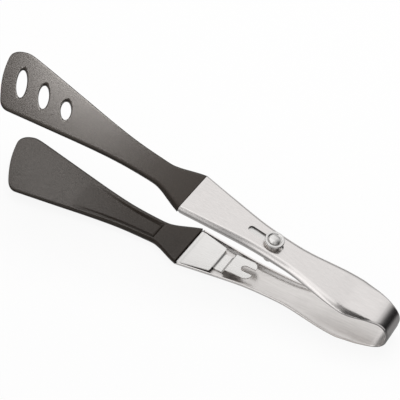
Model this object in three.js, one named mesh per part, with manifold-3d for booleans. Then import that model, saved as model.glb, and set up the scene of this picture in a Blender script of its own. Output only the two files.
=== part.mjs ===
// Kitchen tongs: two steel channel arms joined by a bow spring, a nylon turner blade on each arm,
// and a sliding lock that hooks the arms shut. Millimetres, +Z up.
// The tongs lie on the lower arm, whose flat outer face is z = 0, with the origin on its centre line.
// The blades point along -X. A place on an arm is (s, y, depth): s is the distance from the bow's
// end along the arm, y is crosswise, and depth is measured inward from the arm's outer face.
import * as THREE from 'three';
import { mergeVertices } from 'three/addons/utils/BufferGeometryUtils.js';
import Module from 'manifold-3d';

const wasm = await Module();
wasm.setup();

// Driving dimensions of the steel strip
const openDegrees = 14.7;
const handleLength = 145;
const bowHeight = 21.1;
const bendRadius = 11;
const bowRise = 1.9;
const riseStart = 10;
const riseEnd = 32;
const sheet = 1;
const endWidth = 17;
const bulgeWidth = 29.4;
const waistWidth = 20.7;
const seamWidth = 34;
const bulgePlace = 30.5;
const waistPlace = 75;
const endDepth = 1.15;
const gripPlace = 99;
const gripDepth = 4.1;
const seamDepth = 3.6;
const endRun = 1.4;
const bulgeRun = 6;
const waistRun = 5;
const seamRun = 3.2;
const springLeg = 16;
const closeDegrees = 15.2;
const pivotPlace = 2;
const restPlace = 80;
const seatGap = 0.25;

// Driving dimensions of the blades
const bladeLength = 147.5;
const bladeNeckPlace = 24;
const bladeNeckWidth = 18.7;
const bladeTipWidth = 51.4;
const bladeDrift = 0.6;
const rootThickness = 4.2;
const tipThickness = 2;
const bladeBend = 6.3;
const bladeEdge = 1.3;
const bendPower = 1.3;
const slantPower = 1.5;
const rowPower = 0.9;
const rootFade = 5;
const edgeLift = 0.45;
const rootOuterLift = 0.85;
const rootInnerLift = 0.1;
const tipSlantDegrees = 30;
const tipBulge = 1.8;
const farCornerLength = 15;
const farCornerRun = 13.2;
const nearCornerLength = 7;
const nearCornerRun = 6.8;
const recessPlace = 23.3;
const recessLength = 64;
const recessRim = 2.4;
const recessDepth = 1.2;
const recessNearWall = 0.8;
const recessFarWall = 2.6;
const recessRunOut = 0.1;
const tangLength = 16;
const holeWidth = 6.6;
const holeLengths = [25.1, 21.2, 16.9];
const holePitch = 17.8;
const holeFromEnd = 12.4;
const holeSide = 1.8;
const holeSlantDegrees = 34;

// Driving dimensions of the cover plates and the catch
const plate = 0.7;
const coverDepth = 3.2;
const coverSetback = 0.4;
const coverLength = 22.3;
const coverRearWidth = 21.5;
const coverSideGap = 0.35;
const neckLength = 6.9;
const neckWidth = 13.8;
const joggleRun = 1.3;
const hookDepth = 6.3;
const hookLength = 18.6;
const hookWidth = 14.8;
const hookCorner = 4.4;
const notchWidth = 5;
const notchLength = 9.1;

// Driving dimensions of the sliding lock
const slotToSeam = 41;
const slotLength = 24.8;
const slotWidth = 4.9;
const knobInSlot = 6.8;
const knobRadius = 6.1;
const knobHeight = 3.7;
const knobEdge = 0.7;
const collarRadius = 4.4;
const collarHeight = 1.3;
const dishRadius = 4.1;
const dishDepth = 0.5;
const domeRadius = 3;
const domeHeight = 1.2;
const pinRadius = 2.05;
const pinClearance = 0.1;
const catchRadius = 3.3;
const catchThickness = 1.2;
const catchClearance = 0.3;
const slideWidth = 9;
const slideThickness = 0.7;
const slideRear = 8.3;
const slideOverlap = 1.5;

// Fineness and cutting allowance
const cutOverrun = 2;
const cornerSteps = 5;
const handleRows = 26;
const handleRowPower = 1.3;
const bowRows = 24;
const bladeRows = 26;
const roundSegments = 28;

const { degToRad, lerp } = THREE.MathUtils;
const openAngle = degToRad(openDegrees);
const halfAngle = openAngle / 2;
const bendTurn = Math.PI / 2 - halfAngle;
const bendTangent = bendRadius * Math.tan(bendTurn / 2);
const bowFlat = bowHeight - 2 * bendTangent;
const bowHalfPath = bowFlat / 2 + bendRadius * bendTurn;
const seamPlace = handleLength;
const bladeStart = seamPlace + seatGap;
const slotEnd = seamPlace - slotToSeam;
const slotStart = slotEnd - slotLength;
const knobPlace = slotStart + knobInSlot;
const slideFront = slotEnd - knobPlace + slideOverlap;

// Shares between one named size and the next along the strip: [share of the run, share of the change]
const toBulgeShares = [
  [0, 0], [0.19, 0.02], [0.3, 0.06], [0.4, 0.17], [0.51, 0.37], [0.67, 0.65], [0.75, 0.77], [0.85, 0.9],
  [1, 1],
];
const toWaistShares = [[0.25, 0.18], [0.5, 0.53], [0.75, 0.87], [1, 1]];
const toSeamShares = [[0.32, 0.1], [0.66, 0.52], [1, 1]];
const toGripDepthShares = [
  [0, 0], [0.1, 0], [0.21, 0.02], [0.24, 0.1], [0.27, 0.26], [0.3, 0.34], [0.35, 0.36], [0.44, 0.4],
  [0.57, 0.54], [0.8, 0.85], [1, 1],
];
const toBulgeRunShares = [[0, 0], [0.45, 0.05], [0.6, 0.35], [0.75, 0.8], [1, 1]];
const evenShares = [[0, 0], [0.5, 0.5], [1, 1]];
const toNeckShares = [[0, 0], [0.19, 0.19], [0.46, 0.53], [0.71, 0.83], [1, 1]];
const toTipShares = [
  [0.14, 0.03], [0.26, 0.11], [0.4, 0.26], [0.55, 0.45], [0.7, 0.64], [0.9, 0.89], [1, 1],
];
const thicknessShares = [[0, 0], [0.2, 0.12], [0.6, 0.62], [1, 1]];
const recessShares = [0, 0.25, 0.5, 0.75, 1];
const flatShares = [0.35, 0.65];

// Smooth curve through runs of shares, read as value at place
function spread(from, to, first, last, shares) {
  return shares.map(([run, change]) => new THREE.Vector2(lerp(from, to, run), lerp(first, last, change)));
}

function curveReader(points) {
  const fine = new THREE.SplineCurve(points).getPoints(points.length * 16);
  return (place) => {
    const next = fine.findIndex((point) => point.x >= place);
    if (next < 0) return fine.at(-1).y;
    if (next === 0) return fine[0].y;
    const before = fine[next - 1];
    const share = (place - before.x) / (fine[next].x - before.x);
    return lerp(before.y, fine[next].y, share);
  };
}

// The strip's width, edge depth and rounded edge's run against the path from the middle of the bow
const pathOf = (s) => s - bendTangent + bowHalfPath;
const stripWidth = curveReader([
  ...spread(0, pathOf(bulgePlace), endWidth, bulgeWidth, toBulgeShares),
  ...spread(pathOf(bulgePlace), pathOf(waistPlace), bulgeWidth, waistWidth, toWaistShares),
  ...spread(pathOf(waistPlace), pathOf(seamPlace), waistWidth, seamWidth, toSeamShares),
]);
const stripDepth = curveReader([
  ...spread(0, pathOf(gripPlace), endDepth, gripDepth, toGripDepthShares),
  ...spread(pathOf(gripPlace), pathOf(seamPlace), gripDepth, seamDepth, evenShares.slice(1)),
]);
const stripRun = curveReader([
  ...spread(0, pathOf(bulgePlace), endRun, bulgeRun, toBulgeRunShares),
  ...spread(pathOf(bulgePlace), pathOf(waistPlace), bulgeRun, waistRun, evenShares.slice(1)),
  ...spread(pathOf(waistPlace), pathOf(seamPlace), waistRun, seamRun, evenShares.slice(1)),
]);

// How far the upper arm stands out from its straight line, near the bow
const riseAt = (s) => bowRise * (1 - THREE.MathUtils.smoothstep(s, riseStart, riseEnd));

// Channel section: a flat web whose edges roll inward as quarter ellipses, as [y, depth] pairs
function channelSection(path) {
  const half = stripWidth(path) / 2;
  const depth = stripDepth(path);
  const run = stripRun(path);
  const outer = [];
  const inner = [];
  for (let step = 0; step <= cornerSteps; step += 1) {
    const turn = (Math.PI / 2) * (step / cornerSteps);
    const inward = 1 - Math.cos(turn);
    outer.push([half - run + run * Math.sin(turn), depth * inward]);
    inner.push([half - run + (run - sheet) * Math.sin(turn), sheet + (depth - sheet) * inward]);
  }
  const mirrored = (side) => side.map(([y, d]) => [-y, d]).reverse();
  return { outer: [...mirrored(outer), ...outer], inner: [...mirrored(inner), ...inner] };
}

// Closed solid between two grids of points with the same rows and columns
function solidBetween(outerRows, innerRows) {
  const rows = outerRows.length;
  const columns = outerRows[0].length;
  const positions = [...outerRows.flat(), ...innerRows.flat()].flatMap((point) => point.toArray());
  const outerAt = (row, column) => row * columns + column;
  const innerAt = (row, column) => rows * columns + outerAt(row, column);
  const index = [];
  const quad = (a, b, c, d) => index.push(a, b, c, a, c, d);
  for (let row = 0; row < rows - 1; row += 1) {
    for (let column = 0; column < columns - 1; column += 1) {
      const next = column + 1;
      quad(outerAt(row, column), outerAt(row, next), outerAt(row + 1, next), outerAt(row + 1, column));
      quad(innerAt(row, column), innerAt(row + 1, column), innerAt(row + 1, next), innerAt(row, next));
    }
    quad(outerAt(row, 0), outerAt(row + 1, 0), innerAt(row + 1, 0), innerAt(row, 0));
    const end = columns - 1;
    quad(outerAt(row, end), innerAt(row, end), innerAt(row + 1, end), outerAt(row + 1, end));
  }
  for (let column = 0; column < columns - 1; column += 1) {
    const last = rows - 1;
    quad(outerAt(0, column), innerAt(0, column), innerAt(0, column + 1), outerAt(0, column + 1));
    quad(outerAt(last, column), outerAt(last, column + 1), innerAt(last, column + 1), innerAt(last, column));
  }
  const geometry = new THREE.BufferGeometry();
  geometry.setAttribute('position', new THREE.Float32BufferAttribute(positions, 3));
  geometry.setIndex(index);
  return facingOut(geometry);
}

// Turns every triangle round if the solid came out inside out
function facingOut(geometry) {
  const { array } = geometry.attributes.position;
  const index = geometry.index.array;
  const corner = (i) => new THREE.Vector3().fromArray(array, index[i] * 3);
  let volume = 0;
  for (let i = 0; i < index.length; i += 3) {
    volume += corner(i).dot(corner(i + 1).cross(corner(i + 2)));
  }
  if (volume < 0) {
    for (let i = 0; i < index.length; i += 3) [index[i], index[i + 1]] = [index[i + 1], index[i]];
  }
  return geometry;
}

// Solids for cutting and joining
function toSolid(source) {
  const bare = source.clone();
  bare.deleteAttribute('normal');
  bare.deleteAttribute('uv');
  const merged = mergeVertices(bare, 1e-5);
  return new wasm.Manifold(new wasm.Mesh({
    numProp: 3,
    vertProperties: Float32Array.from(merged.attributes.position.array),
    triVerts: Uint32Array.from(merged.index.array),
  }));
}

function toGeometry(solid) {
  const mesh = solid.getMesh();
  const geometry = new THREE.BufferGeometry();
  geometry.setAttribute('position', new THREE.BufferAttribute(mesh.vertProperties, 3));
  geometry.setIndex(new THREE.BufferAttribute(mesh.triVerts, 1));
  return geometry;
}

// An outline in (x, y) made a plate from low to high
function plateFrom(shape, low, high) {
  const settings = { depth: high - low, bevelEnabled: false, curveSegments: 8 };
  return new THREE.ExtrudeGeometry(shape, settings).translate(0, 0, low);
}

// A point on an arm before the arm is placed; the upper arm's depth runs down instead of up
function armPoint(s, y, depth, side) {
  const rise = side < 0 ? riseAt(s) : 0;
  return new THREE.Vector3(-s, y, side * (depth - rise));
}

// One steel arm from the spring to the blade's seam
function armGeometry(side) {
  const outerRows = [];
  const innerRows = [];
  for (let row = 0; row <= handleRows; row += 1) {
    const s = lerp(springLeg + seatGap, seamPlace, (row / handleRows) ** handleRowPower);
    const section = channelSection(pathOf(s));
    outerRows.push(section.outer.map(([y, d]) => armPoint(s, y, d, side)));
    innerRows.push(section.inner.map(([y, d]) => armPoint(s, y, d, side)));
  }
  return solidBetween(outerRows, innerRows);
}

// A rounded slot's outline between two places along the arm
function slotShape(start, end, width) {
  const shape = new THREE.Shape();
  const radius = width / 2;
  shape.absarc(-start - radius, 0, radius, -Math.PI / 2, Math.PI / 2, false);
  shape.absarc(-end + radius, 0, radius, Math.PI / 2, (3 * Math.PI) / 2, false);
  shape.closePath();
  return shape;
}

function slottedArmGeometry(side) {
  const slot = plateFrom(slotShape(slotStart, slotEnd, slotWidth), -sheet - cutOverrun, cutOverrun);
  return toGeometry(toSolid(armGeometry(side)).subtract(toSolid(slot)));
}

// The bow: the strip turns through two bends with a short flat between them, and its upper side stands out
function bowFrame(path) {
  const away = Math.abs(path);
  const sign = Math.sign(path);
  let x = 0;
  let z = away;
  let turn = 0;
  if (away > bowFlat / 2) {
    turn = Math.min((away - bowFlat / 2) / bendRadius, bendTurn);
    const past = Math.max(away - bowHalfPath, 0);
    x = -bendRadius + bendRadius * Math.cos(turn) - past * Math.sin(bendTurn);
    z = bowFlat / 2 + bendRadius * Math.sin(turn) + past * Math.cos(bendTurn);
  }
  const share = THREE.MathUtils.clamp(path / bowFlat + 1 / 2, 0, 1);
  const rise = share * riseAt(springLeg - pathOf(springLeg) + away);
  const outward = new THREE.Vector3(Math.sin(halfAngle), 0, Math.cos(halfAngle));
  return {
    point: new THREE.Vector3(x, 0, sign * z).addScaledVector(outward, rise),
    normal: new THREE.Vector3(Math.cos(turn), 0, sign * Math.sin(turn)),
  };
}

// Turns the bow's own symmetric frame onto the lower arm's
const crosswise = new THREE.Vector3(0, 1, 0);

function settle(vector) {
  return vector.add(new THREE.Vector3(0, 0, bowHeight / 2)).applyAxisAngle(crosswise, halfAngle);
}

function bowGeometry() {
  const reach = pathOf(springLeg);
  const outerRows = [];
  const innerRows = [];
  for (let row = 0; row <= bowRows; row += 1) {
    const path = lerp(-reach, reach, row / bowRows);
    const { point, normal } = bowFrame(path);
    const place = ([y, d]) => {
      const at = point.clone().addScaledVector(normal, -d);
      at.y = y;
      return settle(at);
    };
    const section = channelSection(Math.abs(path));
    outerRows.push(section.outer.map(place));
    innerRows.push(section.inner.map(place));
  }
  return solidBetween(outerRows, innerRows);
}

// Blade: half width, thickness and inward bend against s
const bladeEnd = seamPlace + bladeLength;
const neckPlace = seamPlace + bladeNeckPlace;
const bladeHalfWidth = curveReader([
  ...spread(seamPlace, neckPlace, seamWidth / 2, bladeNeckWidth / 2, toNeckShares),
  ...spread(neckPlace, bladeEnd, bladeNeckWidth / 2, bladeTipWidth / 2, toTipShares),
]);
const bladeThickness = curveReader(spread(seamPlace, bladeEnd, rootThickness, tipThickness, thicknessShares));
const alongBlade = (s) => Math.max((s - seamPlace) / bladeLength, 0);
const bladeBendAt = (s) => bladeBend * alongBlade(s) ** bendPower;
const tipSlant = degToRad(tipSlantDegrees);

// How far a rounded corner draws the edge in, at a distance from the blade's end
function cornerInset(distance, length, run) {
  if (distance >= length) return 0;
  const left = 1 - distance / length;
  return run * (1 - Math.sqrt(Math.max(1 - left * left, 0)));
}

// A crosswise line of the blade, from the near edge to the far edge. It slants more towards the tip.
function bladeLine(s) {
  const share = Math.max((s - neckPlace) / (bladeEnd - neckPlace), 0);
  const slant = Math.tan(tipSlant) * share ** slantPower;
  const fromEnd = (bladeEnd - s) * Math.cos(tipSlant);
  const drift = bladeDrift * alongBlade(s);
  const reach = (edge, corner) => {
    let half = bladeHalfWidth(s);
    for (let pass = 0; pass < 4; pass += 1) {
      half = bladeHalfWidth(Math.min(s + edge * half * slant, bladeEnd));
    }
    return half - corner;
  };
  const far = reach(1, cornerInset(fromEnd, farCornerLength, farCornerRun));
  const near = reach(-1, cornerInset(fromEnd, nearCornerLength, nearCornerRun));
  return (across) => {
    const y = lerp(-near, far, across);
    const crown = tipBulge * share ** 2 * (1 - (2 * across - 1) ** 2);
    return { s: s + y * slant + crown, y: y + drift };
  };
}

// Places across the blade, closer together in its rounded edges
function acrossPlaces(run, width) {
  const edge = [];
  for (let step = 0; step < 3; step += 1) {
    const turn = (Math.PI / 2) * (step / 3);
    edge.push({ across: (run / width) * (1 - Math.cos(turn)), lift: 1 - Math.sin(turn) });
  }
  const inner = [run / width, ...flatShares, 1 - run / width].map((across) => ({ across, lift: 0 }));
  const back = edge.map(({ across, lift }) => ({ across: 1 - across, lift })).reverse();
  return [...edge, ...inner, ...back];
}

function bladeBody(side) {
  const outerRows = [];
  const innerRows = [];
  for (let row = 0; row <= bladeRows; row += 1) {
    const share = row / bladeRows;
    const s = lerp(bladeStart, bladeEnd, Math.sin((share * Math.PI) / 2) ** rowPower);
    const fade = Math.min(alongBlade(s) * rootFade, 1);
    const line = bladeLine(s);
    const thickness = bladeThickness(s);
    const run = lerp(seamRun, bladeEdge, fade);
    const outerRow = [];
    const innerRow = [];
    for (const { across, lift } of acrossPlaces(run, 2 * bladeHalfWidth(s))) {
      const at = line(across);
      const outerDrop = lift * thickness * lerp(rootOuterLift, edgeLift, fade);
      const innerDrop = lift * thickness * lerp(rootInnerLift, edgeLift, fade);
      const bend = bladeBendAt(at.s);
      outerRow.push(armPoint(at.s, at.y, bend + outerDrop, side));
      innerRow.push(armPoint(at.s, at.y, bend + thickness - innerDrop, side));
    }
    outerRows.push(outerRow);
    innerRows.push(innerRow);
  }
  return toSolid(solidBetween(outerRows, innerRows));
}

// The flat tongue that the cover plate clamps against the web
function tangSolid(side) {
  const inset = seamRun + seatGap;
  const rear = seamPlace - tangLength;
  const shape = new THREE.Shape([
    [rear, stripWidth(pathOf(rear)) / 2 - inset], [bladeStart + rootThickness, seamWidth / 2 - inset],
    [bladeStart + rootThickness, -seamWidth / 2 + inset], [rear, -stripWidth(pathOf(rear)) / 2 + inset],
  ].map(([s, y]) => new THREE.Vector2(-s, y)));
  const low = sheet + seatGap;
  const high = coverDepth - plate - seatGap;
  return toSolid(side > 0 ? plateFrom(shape, low, high) : plateFrom(shape, -high, -low));
}

// The recess in the blade's inner face: deepest at its end wall near the neck and running out towards the tip
function recessSolid(side) {
  const start = seamPlace + recessPlace;
  const floorRows = [];
  const openRows = [];
  for (const share of recessShares) {
    const s = start + recessLength * share;
    const face = bladeBendAt(s) + bladeThickness(s);
    const middle = bladeDrift * alongBlade(s);
    const half = bladeHalfWidth(s) - recessRim;
    const open = face + cutOverrun;
    const floor = lerp(face - recessDepth, face + recessRunOut, share);
    const brim = face + recessDepth;
    const line = [
      [-half - recessNearWall, brim], [-half + recessNearWall, floor],
      [half - recessFarWall, floor], [half + recessFarWall, brim],
    ];
    floorRows.push(line.map(([y, depth]) => armPoint(s, middle + y, depth, side)));
    openRows.push(line.map(([y]) => armPoint(s, middle + y, open, side)));
  }
  return toSolid(solidBetween(floorRows, openRows));
}

// The slanted oval holes that let fat drain
function holeSolids() {
  return holeLengths.map((length, order) => {
    const oval = new THREE.Shape();
    oval.absellipse(0, 0, holeWidth / 2, length / 2, 0, 2 * Math.PI, false, degToRad(holeSlantDegrees));
    const through = rootThickness + bladeBend + cutOverrun;
    const hole = plateFrom(oval, -through, through);
    hole.translate(-(bladeEnd - holeFromEnd - order * holePitch), holeSide, 0);
    return toSolid(hole);
  });
}

function bladeGeometry(side, holes) {
  let solid = bladeBody(side).add(tangSolid(side)).subtract(recessSolid(side));
  for (const hole of holes) solid = solid.subtract(hole);
  return toGeometry(solid);
}

// Plan of the cover plate as half outlines from its front edge to its rear edge
const coverFront = seamPlace - coverSetback;
const coverRear = coverFront - coverLength;
const innerWall = (s) => stripWidth(pathOf(s)) / 2 - sheet;
const coverFrontHalf = innerWall(coverFront) - coverSideGap;
const neckRear = coverRear - neckLength;
const hookFront = neckRear - joggleRun;
const hookRear = hookFront - hookLength;

function coverShape() {
  const shape = new THREE.Shape();
  shape.moveTo(-coverFront, -coverFrontHalf);
  shape.lineTo(-coverFront, coverFrontHalf);
  shape.lineTo(-coverRear, coverRearWidth / 2);
  shape.lineTo(-coverRear, -coverRearWidth / 2);
  shape.closePath();
  return shape;
}

// Cover, neck and notched hook in one outline
function catchShape() {
  const shape = new THREE.Shape();
  const notchCentre = hookRear + notchLength - notchWidth / 2;
  shape.moveTo(-coverFront, -coverFrontHalf);
  shape.lineTo(-coverFront, coverFrontHalf);
  shape.lineTo(-coverRear, coverRearWidth / 2);
  shape.lineTo(-coverRear, neckWidth / 2);
  shape.lineTo(-hookFront, neckWidth / 2);
  shape.lineTo(-hookFront, hookWidth / 2);
  shape.absarc(-hookRear - hookCorner, hookWidth / 2 - hookCorner, hookCorner, Math.PI / 2, 0, true);
  shape.lineTo(-hookRear, notchWidth / 2);
  shape.absarc(-notchCentre, 0, notchWidth / 2, Math.PI / 2, (3 * Math.PI) / 2, false);
  shape.lineTo(-hookRear, -notchWidth / 2);
  shape.absarc(-hookRear - hookCorner, -hookWidth / 2 + hookCorner, hookCorner, 0, -Math.PI / 2, true);
  shape.lineTo(-hookFront, -hookWidth / 2);
  shape.lineTo(-hookFront, -neckWidth / 2);
  shape.lineTo(-coverRear, -neckWidth / 2);
  shape.lineTo(-coverRear, -coverRearWidth / 2);
  shape.closePath();
  return shape;
}

// Side view of the stamped catch: down to the arm's floor, where it is welded, and up to the hook
function catchProfile() {
  const floor = sheet + seatGap;
  const top = [
    [coverFront + cutOverrun, coverDepth], [coverRear, coverDepth],
    [coverRear - joggleRun, floor + plate], [neckRear, floor + plate],
    [hookFront - joggleRun, hookDepth], [hookRear - cutOverrun, hookDepth],
  ];
  const under = [
    [hookRear - cutOverrun, hookDepth - plate], [hookFront - joggleRun - plate, hookDepth - plate],
    [neckRear - plate, floor], [coverRear - joggleRun + plate / 2, floor],
    [coverRear + plate / 2, coverDepth - plate], [coverFront + cutOverrun, coverDepth - plate],
  ];
  return new THREE.Shape([...top, ...under].map(([s, d]) => new THREE.Vector2(-s, d)));
}

function catchGeometry() {
  const reach = coverFrontHalf + cutOverrun;
  const bent = plateFrom(catchProfile(), -reach, reach).rotateX(Math.PI / 2);
  const cut = plateFrom(catchShape(), 0, hookDepth + cutOverrun);
  return toGeometry(toSolid(bent).intersect(toSolid(cut)));
}

function coverGeometry() {
  return plateFrom(coverShape(), -coverDepth, plate - coverDepth);
}

// Sliding lock, made about the pin's axis with the arm's outer face at z = 0
function lathed(profile) {
  const points = profile.map(([r, z]) => new THREE.Vector2(r, z));
  return new THREE.LatheGeometry(points, roundSegments).rotateX(Math.PI / 2);
}

const knobTop = seatGap + knobHeight;
const slideTravel = slotEnd - pinRadius - pinClearance - knobPlace;

function knobGeometry() {
  const bore = pinRadius + pinClearance;
  return lathed([
    [bore, seatGap], [collarRadius, seatGap], [collarRadius, seatGap + collarHeight],
    [knobRadius - knobEdge, seatGap + collarHeight], [knobRadius, seatGap + collarHeight + knobEdge],
    [knobRadius, knobTop - knobEdge], [knobRadius - knobEdge, knobTop], [dishRadius + dishDepth, knobTop],
    [dishRadius, knobTop - dishDepth], [bore, knobTop - dishDepth], [bore, seatGap],
  ]);
}

// Height of the upper arm's outer face over the lower arm's, at the slid pin, with the tongs closed
function closedHeight() {
  const pivot = settle(new THREE.Vector3(-pivotPlace, 0, 0));
  const bend = settle(new THREE.Vector3(0, 0, bowHeight / 2));
  const pin = armPoint(knobPlace + slideTravel, 0, 0, 1).applyAxisAngle(crosswise, openAngle).add(bend);
  return pin.sub(pivot).applyAxisAngle(crosswise, -degToRad(closeDegrees)).add(pivot).z;
}

const catchTop = hookDepth - plate - catchClearance - closedHeight();

function pinGeometry() {
  const domeBase = knobTop - dishDepth + seatGap;
  const profile = [];
  for (let step = 0; step <= 4; step += 1) {
    const turn = (Math.PI / 2) * (step / 4);
    profile.push([catchRadius * Math.sin(turn), catchTop - catchThickness * Math.cos(turn)]);
  }
  profile.push([pinRadius, catchTop], [pinRadius, domeBase]);
  for (let step = 0; step <= 4; step += 1) {
    const turn = (Math.PI / 2) * (step / 4);
    profile.push([step === 4 ? 0 : domeRadius * Math.cos(turn), domeBase + domeHeight * Math.sin(turn)]);
  }
  return lathed(profile);
}

// The guide strip under the web carries the pin and fills the slot's view
function slideGeometry() {
  const shape = slotShape(-slideRear, slideFront, slideWidth);
  const bore = new THREE.Path();
  bore.absarc(0, 0, pinRadius + pinClearance, 0, 2 * Math.PI, true);
  shape.holes.push(bore);
  const high = -sheet - seatGap;
  return plateFrom(shape, high - slideThickness, high);
}

// Materials
const steelOutside = new THREE.MeshStandardMaterial({ color: 0xdddad8, roughness: 0.32, metalness: 1 });
const steelBrushed = new THREE.MeshStandardMaterial({ color: 0xcfccca, roughness: 0.4, metalness: 1 });
const steelBright = new THREE.MeshStandardMaterial({ color: 0xe2e0de, roughness: 0.22, metalness: 1 });
const nylon = new THREE.MeshStandardMaterial({ color: 0x45423f, roughness: 0.55, metalness: 0 });

function named(name, geometry, material) {
  const mesh = new THREE.Mesh(geometry, material);
  mesh.name = name;
  return mesh;
}

// Assembly
const lower = 1;
const upper = -1;
const tongs = new THREE.Group();
const lowerArm = new THREE.Group();
const upperArm = new THREE.Group();
const lock = new THREE.Group();

lowerArm.add(
  named('lower_arm', armGeometry(lower), steelOutside),
  named('lower_blade', bladeGeometry(lower, []), nylon),
  named('catch_plate', catchGeometry(), steelBrushed),
);
upperArm.add(
  named('upper_arm', slottedArmGeometry(upper), steelOutside),
  named('upper_blade', bladeGeometry(upper, holeSolids()), nylon),
  named('upper_cover_plate', coverGeometry(), steelBrushed),
);
lock.add(
  named('lock_knob', knobGeometry(), steelBright),
  named('lock_pin', pinGeometry(), steelBright),
  named('slide_plate', slideGeometry(), steelBrushed),
);
lock.position.set(-knobPlace, 0, 0);
upperArm.add(lock);
upperArm.position.copy(settle(new THREE.Vector3(0, 0, bowHeight / 2)));
upperArm.rotation.y = openAngle;
tongs.position.set(restPlace, 0, 0);
tongs.add(lowerArm, named('spring_bow', bowGeometry(), steelOutside), upperArm);

export default tongs;
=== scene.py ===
"""Kitchen tongs with a steel spring handle, two nylon turner blades and a sliding lock.

The packed CAD model is the fixed frame. Each piece is a surface worked out with numpy over it, in metres.
A place on an arm is (s, y, depth): s runs from the bow's end along the arm, y is crosswise, and depth
is measured inward from the arm's outer face.
"""

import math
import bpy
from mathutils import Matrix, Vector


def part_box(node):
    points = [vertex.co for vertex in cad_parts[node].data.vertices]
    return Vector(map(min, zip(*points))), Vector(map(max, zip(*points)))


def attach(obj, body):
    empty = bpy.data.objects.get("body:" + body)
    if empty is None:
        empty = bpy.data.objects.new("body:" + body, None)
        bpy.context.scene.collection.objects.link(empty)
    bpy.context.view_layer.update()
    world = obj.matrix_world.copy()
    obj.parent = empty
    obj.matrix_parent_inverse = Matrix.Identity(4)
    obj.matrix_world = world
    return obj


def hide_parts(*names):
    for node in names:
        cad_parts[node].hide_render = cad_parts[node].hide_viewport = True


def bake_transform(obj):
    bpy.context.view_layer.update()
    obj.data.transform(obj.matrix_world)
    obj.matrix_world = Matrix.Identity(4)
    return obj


bl_info = {
    "name": "Kitchen tongs",
    "version": (1, 0, 0),
    "blender": (4, 5, 0),
    "location": "View3D > Sidebar > Tongs",
    "description": "Builds locking kitchen tongs with nylon turner blades, and the studio round them",
    "category": "Object",
}

import bpy
import numpy as np
from bpy.props import FloatProperty, FloatVectorProperty, PointerProperty
from mathutils import Matrix, Vector

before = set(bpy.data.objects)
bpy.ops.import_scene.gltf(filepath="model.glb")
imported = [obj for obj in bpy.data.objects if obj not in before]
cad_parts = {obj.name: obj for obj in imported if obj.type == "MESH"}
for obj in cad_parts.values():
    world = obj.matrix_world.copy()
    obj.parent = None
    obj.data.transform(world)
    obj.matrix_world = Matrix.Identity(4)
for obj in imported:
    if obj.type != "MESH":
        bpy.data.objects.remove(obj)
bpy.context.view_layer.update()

MM = 0.001
QUARTER_TURN = math.pi / 2


def length(name, description, millimetres):
    return FloatProperty(
        name=name, description=description, default=millimetres * MM, subtype="DISTANCE", unit="LENGTH",
        precision=5,
    )


def angle(name, description, degrees):
    return FloatProperty(
        name=name, description=description, default=math.radians(degrees), subtype="ANGLE", unit="ROTATION"
    )


def share(name, description, value):
    return FloatProperty(name=name, description=description, default=value, subtype="FACTOR", min=0.0, max=1.0)


def number(name, description, value):
    return FloatProperty(name=name, description=description, default=value)


def colour(name, description, value):
    return FloatVectorProperty(
        name=name, description=description, default=(*value, 1.0), size=4, subtype="COLOR", min=0.0, max=1.0
    )


# Shares between one named size and the next along the strip: (share of the run, share of the change)
TO_BULGE = (
    (0, 0), (0.19, 0.02), (0.3, 0.06), (0.4, 0.17), (0.51, 0.37), (0.67, 0.65), (0.75, 0.77), (0.85, 0.9),
    (1, 1),
)
TO_WAIST = ((0.25, 0.18), (0.5, 0.53), (0.75, 0.87), (1, 1))
TO_SEAM = ((0.32, 0.1), (0.66, 0.52), (1, 1))
TO_GRIP_DEPTH = (
    (0, 0), (0.1, 0), (0.21, 0.02), (0.24, 0.1), (0.27, 0.26), (0.3, 0.34), (0.35, 0.36), (0.44, 0.4),
    (0.57, 0.54), (0.8, 0.85), (1, 1),
)
TO_BULGE_RUN = ((0, 0), (0.45, 0.05), (0.6, 0.35), (0.75, 0.8), (1, 1))
EVEN = ((0, 0), (0.5, 0.5), (1, 1))
TO_NECK = ((0, 0), (0.19, 0.19), (0.46, 0.53), (0.71, 0.83), (1, 1))
TO_TIP = ((0.14, 0.03), (0.26, 0.11), (0.4, 0.26), (0.55, 0.45), (0.7, 0.64), (0.9, 0.89), (1, 1))
THICKNESS = ((0, 0), (0.2, 0.12), (0.6, 0.62), (1, 1))
BEND_POWER = 1.3
HOLE_LENGTHS = (25.1 * MM, 21.2 * MM, 16.9 * MM)


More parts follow.
